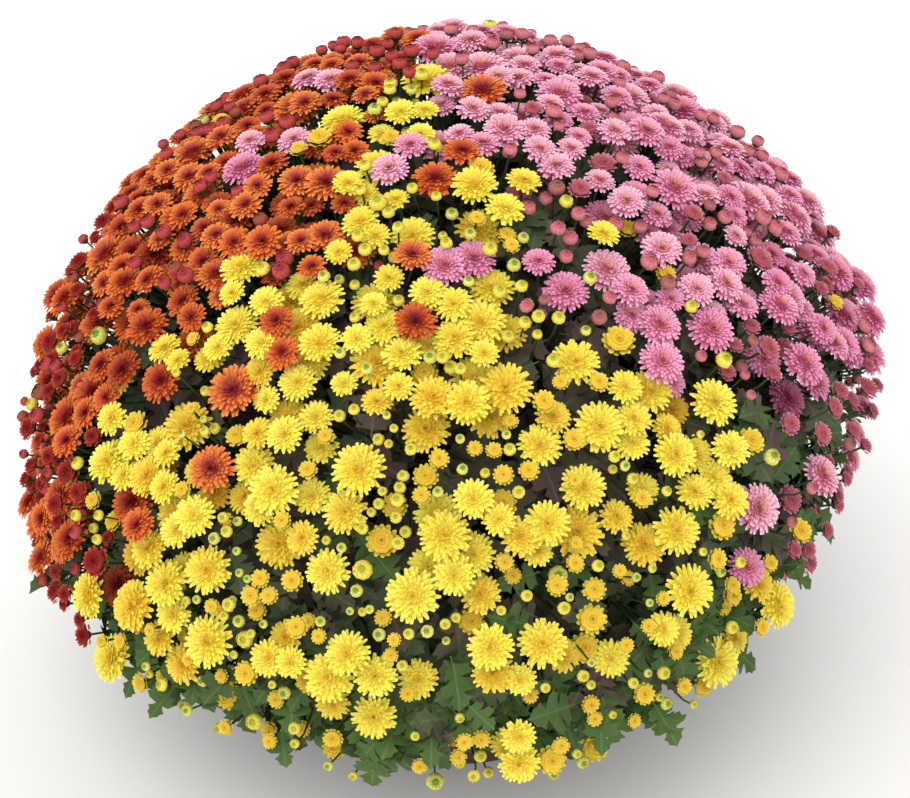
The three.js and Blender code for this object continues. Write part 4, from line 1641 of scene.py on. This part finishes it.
    def stalk(self, flower: Flower, spray: Spray, top: np.ndarray, draft: Draft) -> None:
        """Adds a flower's stalk, which runs from the top of the spray's stem to the flower's calyx."""
        is_bud = flower.form is Form.BUD
        outward = flower.outward
        aside, share = self.stalk_knee
        reach = float(np.dot(flower.centre - CENTRE, outward))
        knee = CENTRE + unit(mix(outward, spray.direction, aside)) * reach * share
        low, _ = CALYX[Form.BUD if is_bud else Form.BLOOM]
        neck = flower.centre + flower.facing * low * flower.radius
        crook = neck - flower.facing * self.crook * math.dist(knee, neck)
        path = np.array([top, knee, *curve(knee, crook, neck, 0.4, 0.75, 1.0)])
        thin = self.stalk_radius * (self.bud_stalk if is_bud else 1.0)
        add_tube(draft, path, np.array(self.stalk_taper) * thin, STALK_STRIP)


# --- Pot and soil ---


@dataclass
class Pot:
    """A round nursery pot with a rolled rim, a stepped foot and drain holes."""

    height: float = 0.170
    foot_radius: float = 0.112
    neck_radius: float = 0.141
    rim_radius: float = 0.148
    rim_band: float = 0.022
    wall: float = 0.003
    sides: int = 96
    drains: int = 5
    drain_radius: float = 0.006
    drain_circle: float = 0.084
    sharp_from: float = 35.0

    def profile(self) -> list[tuple[float, float]]:
        """Returns the wall's radii and heights, from the foot outside over the rim to the foot inside."""
        band = self.height - self.rim_band
        edge = 0.0015
        slope = (self.neck_radius - self.foot_radius) / band
        outside = [(self.foot_radius - edge, 0.0), (self.foot_radius, edge)]
        outside += [(self.foot_radius + slope * z, z) for z in np.linspace(0.012, band - 0.004, 5)]
        rim = [
            (self.neck_radius, band - 0.001),
            (self.rim_radius - edge, band),
            (self.rim_radius, band + edge),
            (self.rim_radius, self.height - edge),
            (self.rim_radius - edge * 0.4, self.height - edge * 0.3),
            (self.rim_radius - edge, self.height),
            (self.rim_radius - self.wall + 0.0006, self.height),
            (self.rim_radius - self.wall, self.height - 0.0006),
        ]
        inside = [(self.neck_radius - self.wall, band), (self.foot_radius - self.wall, self.wall)]
        return outside + rim + inside

    def make(self, material: bpy.types.Material) -> bpy.types.Object:
        """Returns the pot, with its drain holes cut."""
        angles = circle_angles(self.sides)
        circle = np.column_stack([np.cos(angles), np.sin(angles)])
        rings = [np.column_stack([circle * r, np.full(self.sides, z)]) for r, z in self.profile()]
        pot = round_piece("nursery_pot", "pot", material, rings, (0.0, self.wall))
        self._cut_drains(pot)
        return pot

    def _cut_drains(self, pot: bpy.types.Object) -> None:
        """Cuts the drain holes through the pot's floor, and marks its sharp edges."""
        cutters = bpy.data.collections.new("drains")
        for angle in circle_angles(self.drains):
            spot = (self.drain_circle * math.cos(angle), self.drain_circle * math.sin(angle), 0)
            drill = {"vertices": 24, "radius": self.drain_radius, "depth": 4 * self.wall}
            bpy.ops.mesh.primitive_cylinder_add(location=spot, **drill)
            cutter = bpy.context.object
            for collection in list(cutter.users_collection):
                collection.objects.unlink(cutter)
            cutters.objects.link(cutter)
        cut = pot.modifiers.new("drains", "BOOLEAN")
        cut.operand_type = "COLLECTION"
        cut.collection = cutters
        cut.operation = "DIFFERENCE"
        cut.solver = "EXACT"
        bpy.context.view_layer.objects.active = pot
        with bpy.context.temp_override(object=pot, active_object=pot, selected_objects=[pot]):
            bpy.ops.object.modifier_apply(modifier=cut.name)
        for cutter in list(cutters.objects):
            bpy.data.objects.remove(cutter, do_unlink=True)
        bpy.data.collections.remove(cutters)
        pot.data.set_sharp_from_angle(angle=math.radians(self.sharp_from))


@dataclass
class Soil:
    """The potting soil, crowned a little in the middle and crumbly on top."""

    pot: Pot
    top: float = 0.152
    crown: float = 0.006
    gap: float = 0.0006
    gap_below: float = 0.0003
    crumb: float = 0.0014  # height
    settled: float = 0.001  # how far the crumbs lie under the smooth surface
    brim: float = 0.148  # height of the upper edge
    brim_inset: float = 0.985  # its share of the radius
    flank: tuple[tuple[float, float], ...] = ((0.146, 0.995), (0.08, 1.0))  # heights, shares of the radius
    sharp_from: float = 60.0
    sides: int = 120
    rings: int = 44

    def height_at(self, radius: float) -> float:
        """Returns the height of the smooth surface at a distance from the pot's axis."""
        return self.top + self.crown * (1 - (radius / self.pot.neck_radius) ** 2)

    def wall_radius(self, z: float) -> float:
        """Returns the radius of the soil against the pot's wall at a height."""
        pot = self.pot
        share = (z - pot.wall) / (pot.height - pot.rim_band - pot.wall)
        return mix(pot.foot_radius, pot.neck_radius, min(1.0, share)) - pot.wall - self.gap

    def make(self, material: bpy.types.Material) -> bpy.types.Object:
        """Returns the soil."""
        edge = self.wall_radius(self.brim) * self.brim_inset
        foot = self.pot.wall + self.gap_below
        angles = circle_angles(self.sides)
        rings = []
        for share in np.linspace(0.004, 1.0, self.rings):
            r = edge * share
            x, y = r * np.cos(angles), r * np.sin(angles)
            crumbs = np.sin(310 * x + 2 * np.sin(170 * y)) * np.sin(290 * y + 2 * np.sin(190 * x))
            crumbs += 0.6 * np.sin(720 * x + 3 * np.sin(330 * y)) * np.sin(690 * y + 1.7)
            fade = min(1.0, (1 - share) * 12)
            z = self.height_at(r) + self.crumb * crumbs * fade - self.settled
            rings.append(np.column_stack([x, y, z]))
        for z, share in (*self.flank, (foot, 1.0)):
            r = self.wall_radius(z) * share
            rings.append(np.column_stack([r * np.cos(angles), r * np.sin(angles), np.full(self.sides, z)]))
        ends = (self.top + self.crown - self.settled, foot)
        soil = round_piece("soil_bed", "soil", material, rings, ends, downwards=True)
        soil.data.set_sharp_from_angle(angle=math.radians(self.sharp_from))
        return soil


# --- Studio ---


@dataclass
class Studio:
    """The pale floor, the soft light and the camera."""

    elevation: float = 34.0
    distance: float = 2.01
    lens: float = 103.4
    shift: tuple[float, float] = (-0.001, 0.0735)
    roll: float = -1.6
    sky: float = 1.0
    sun: float = 1.3
    sun_width: float = 50.0
    sun_tilt: tuple[float, float] = (34.0, -14.0)  # about X and Y
    floor_half: float = 8.0
    floor_colour: str = "F4F3F1"

    def build(self) -> None:
        """Sets the studio up."""
        self._floor()
        self._light()
        self._camera()

    def _floor(self) -> None:
        """Adds the floor."""
        mesh = bpy.data.meshes.new("studio_floor")
        half = self.floor_half
        corners = [(-half, -half, 0), (half, -half, 0), (half, half, 0), (-half, half, 0)]
        mesh.from_pydata(corners, [], [(0, 1, 2, 3)])
        floor = bpy.data.objects.new("studio_floor", mesh)
        bpy.context.scene.collection.objects.link(floor)
        finish = Finish("studio_floor", roughness=0.9, specular=0.1)
        finish.coat(paint(self.floor_colour))
        mesh.materials.append(finish.material)

    def _light(self) -> None:
        """Adds a wide soft sun from above the camera, and an even sky."""
        sun = bpy.data.lights.new("soft_sun", "SUN")
        sun.energy = self.sun
        sun.angle = math.radians(self.sun_width)
        lamp = bpy.data.objects.new("soft_sun", sun)
        lamp.rotation_euler = (*map(math.radians, self.sun_tilt), 0)
        bpy.context.scene.collection.objects.link(lamp)
        world = bpy.data.worlds.new("sky")
        world.use_nodes = True
        background = world.node_tree.nodes["Background"]
        background.inputs["Color"].default_value = (1.0, 1.0, 1.0, 1.0)
        background.inputs["Strength"].default_value = self.sky
        bpy.context.scene.world = world
        bpy.context.scene.view_settings.view_transform = "Standard"

    def _camera(self) -> None:
        """Adds the camera, which looks down on the dome from the front."""
        data = bpy.data.cameras.new("camera")
        data.lens = self.lens
        data.sensor_width = 36.0
        data.shift_x, data.shift_y = self.shift
        camera = bpy.data.objects.new("camera", data)
        height = math.radians(self.elevation)
        camera.location = CENTRE + self.distance * np.array([0, -math.cos(height), math.sin(height)])
        level = Matrix.Rotation(math.radians(90 - self.elevation), 3, "X")
        camera.rotation_euler = (level @ Matrix.Rotation(math.radians(self.roll), 3, "Z")).to_euler()
        bpy.context.scene.collection.objects.link(camera)
        bpy.context.scene.camera = camera


# --- The whole plant ---


def build_sprays(planting: Planting, foliage: Foliage, soil: Soil) -> None:
    """Makes two pieces for each spray: its petals, and its leaves and stems."""
    rng = np.random.default_rng(SEED + 1)
    petal_materials = [finish.make() for finish in PETAL_FINISHES]
    green_materials = [LeafFinish().make(), StemFinish().make()]
    heads = Heads()
    greens = [Draft() for _ in planting.sprays]
    foliage.place_leaves(greens, rng)
    for spray, green in zip(planting.sprays, greens):
        petals = Draft()
        top = foliage.stem(spray, green, soil)
        for flower in spray.flowers:
            heads.petals(flower, petals, rng)
            heads.calyx(flower, green, foliage.stalk_radius)
            foliage.stalk(flower, spray, top, green)
        petals.piece(f"{spray.name}_flowers", petal_materials, f"petals_{spray.plant.value}", spray.name)
        green.piece(f"{spray.name}_leaves", green_materials, "foliage", spray.name)


def main() -> None:
    """Builds the plant around the frame."""
    logging.basicConfig(level=logging.INFO, format="%(name)s: %(message)s")
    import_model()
    planting = Planting(Canopy())
    planting.lay_out()
    growth = Growth(planting)
    growth.grow()
    pot = Pot()
    pot.make(PotFinish().make())
    soil = Soil(pot)
    soil.make(SoilFinish().make())
    build_sprays(planting, Foliage(growth), soil)
    Studio().build()


if __name__ == "__main__":
    main()
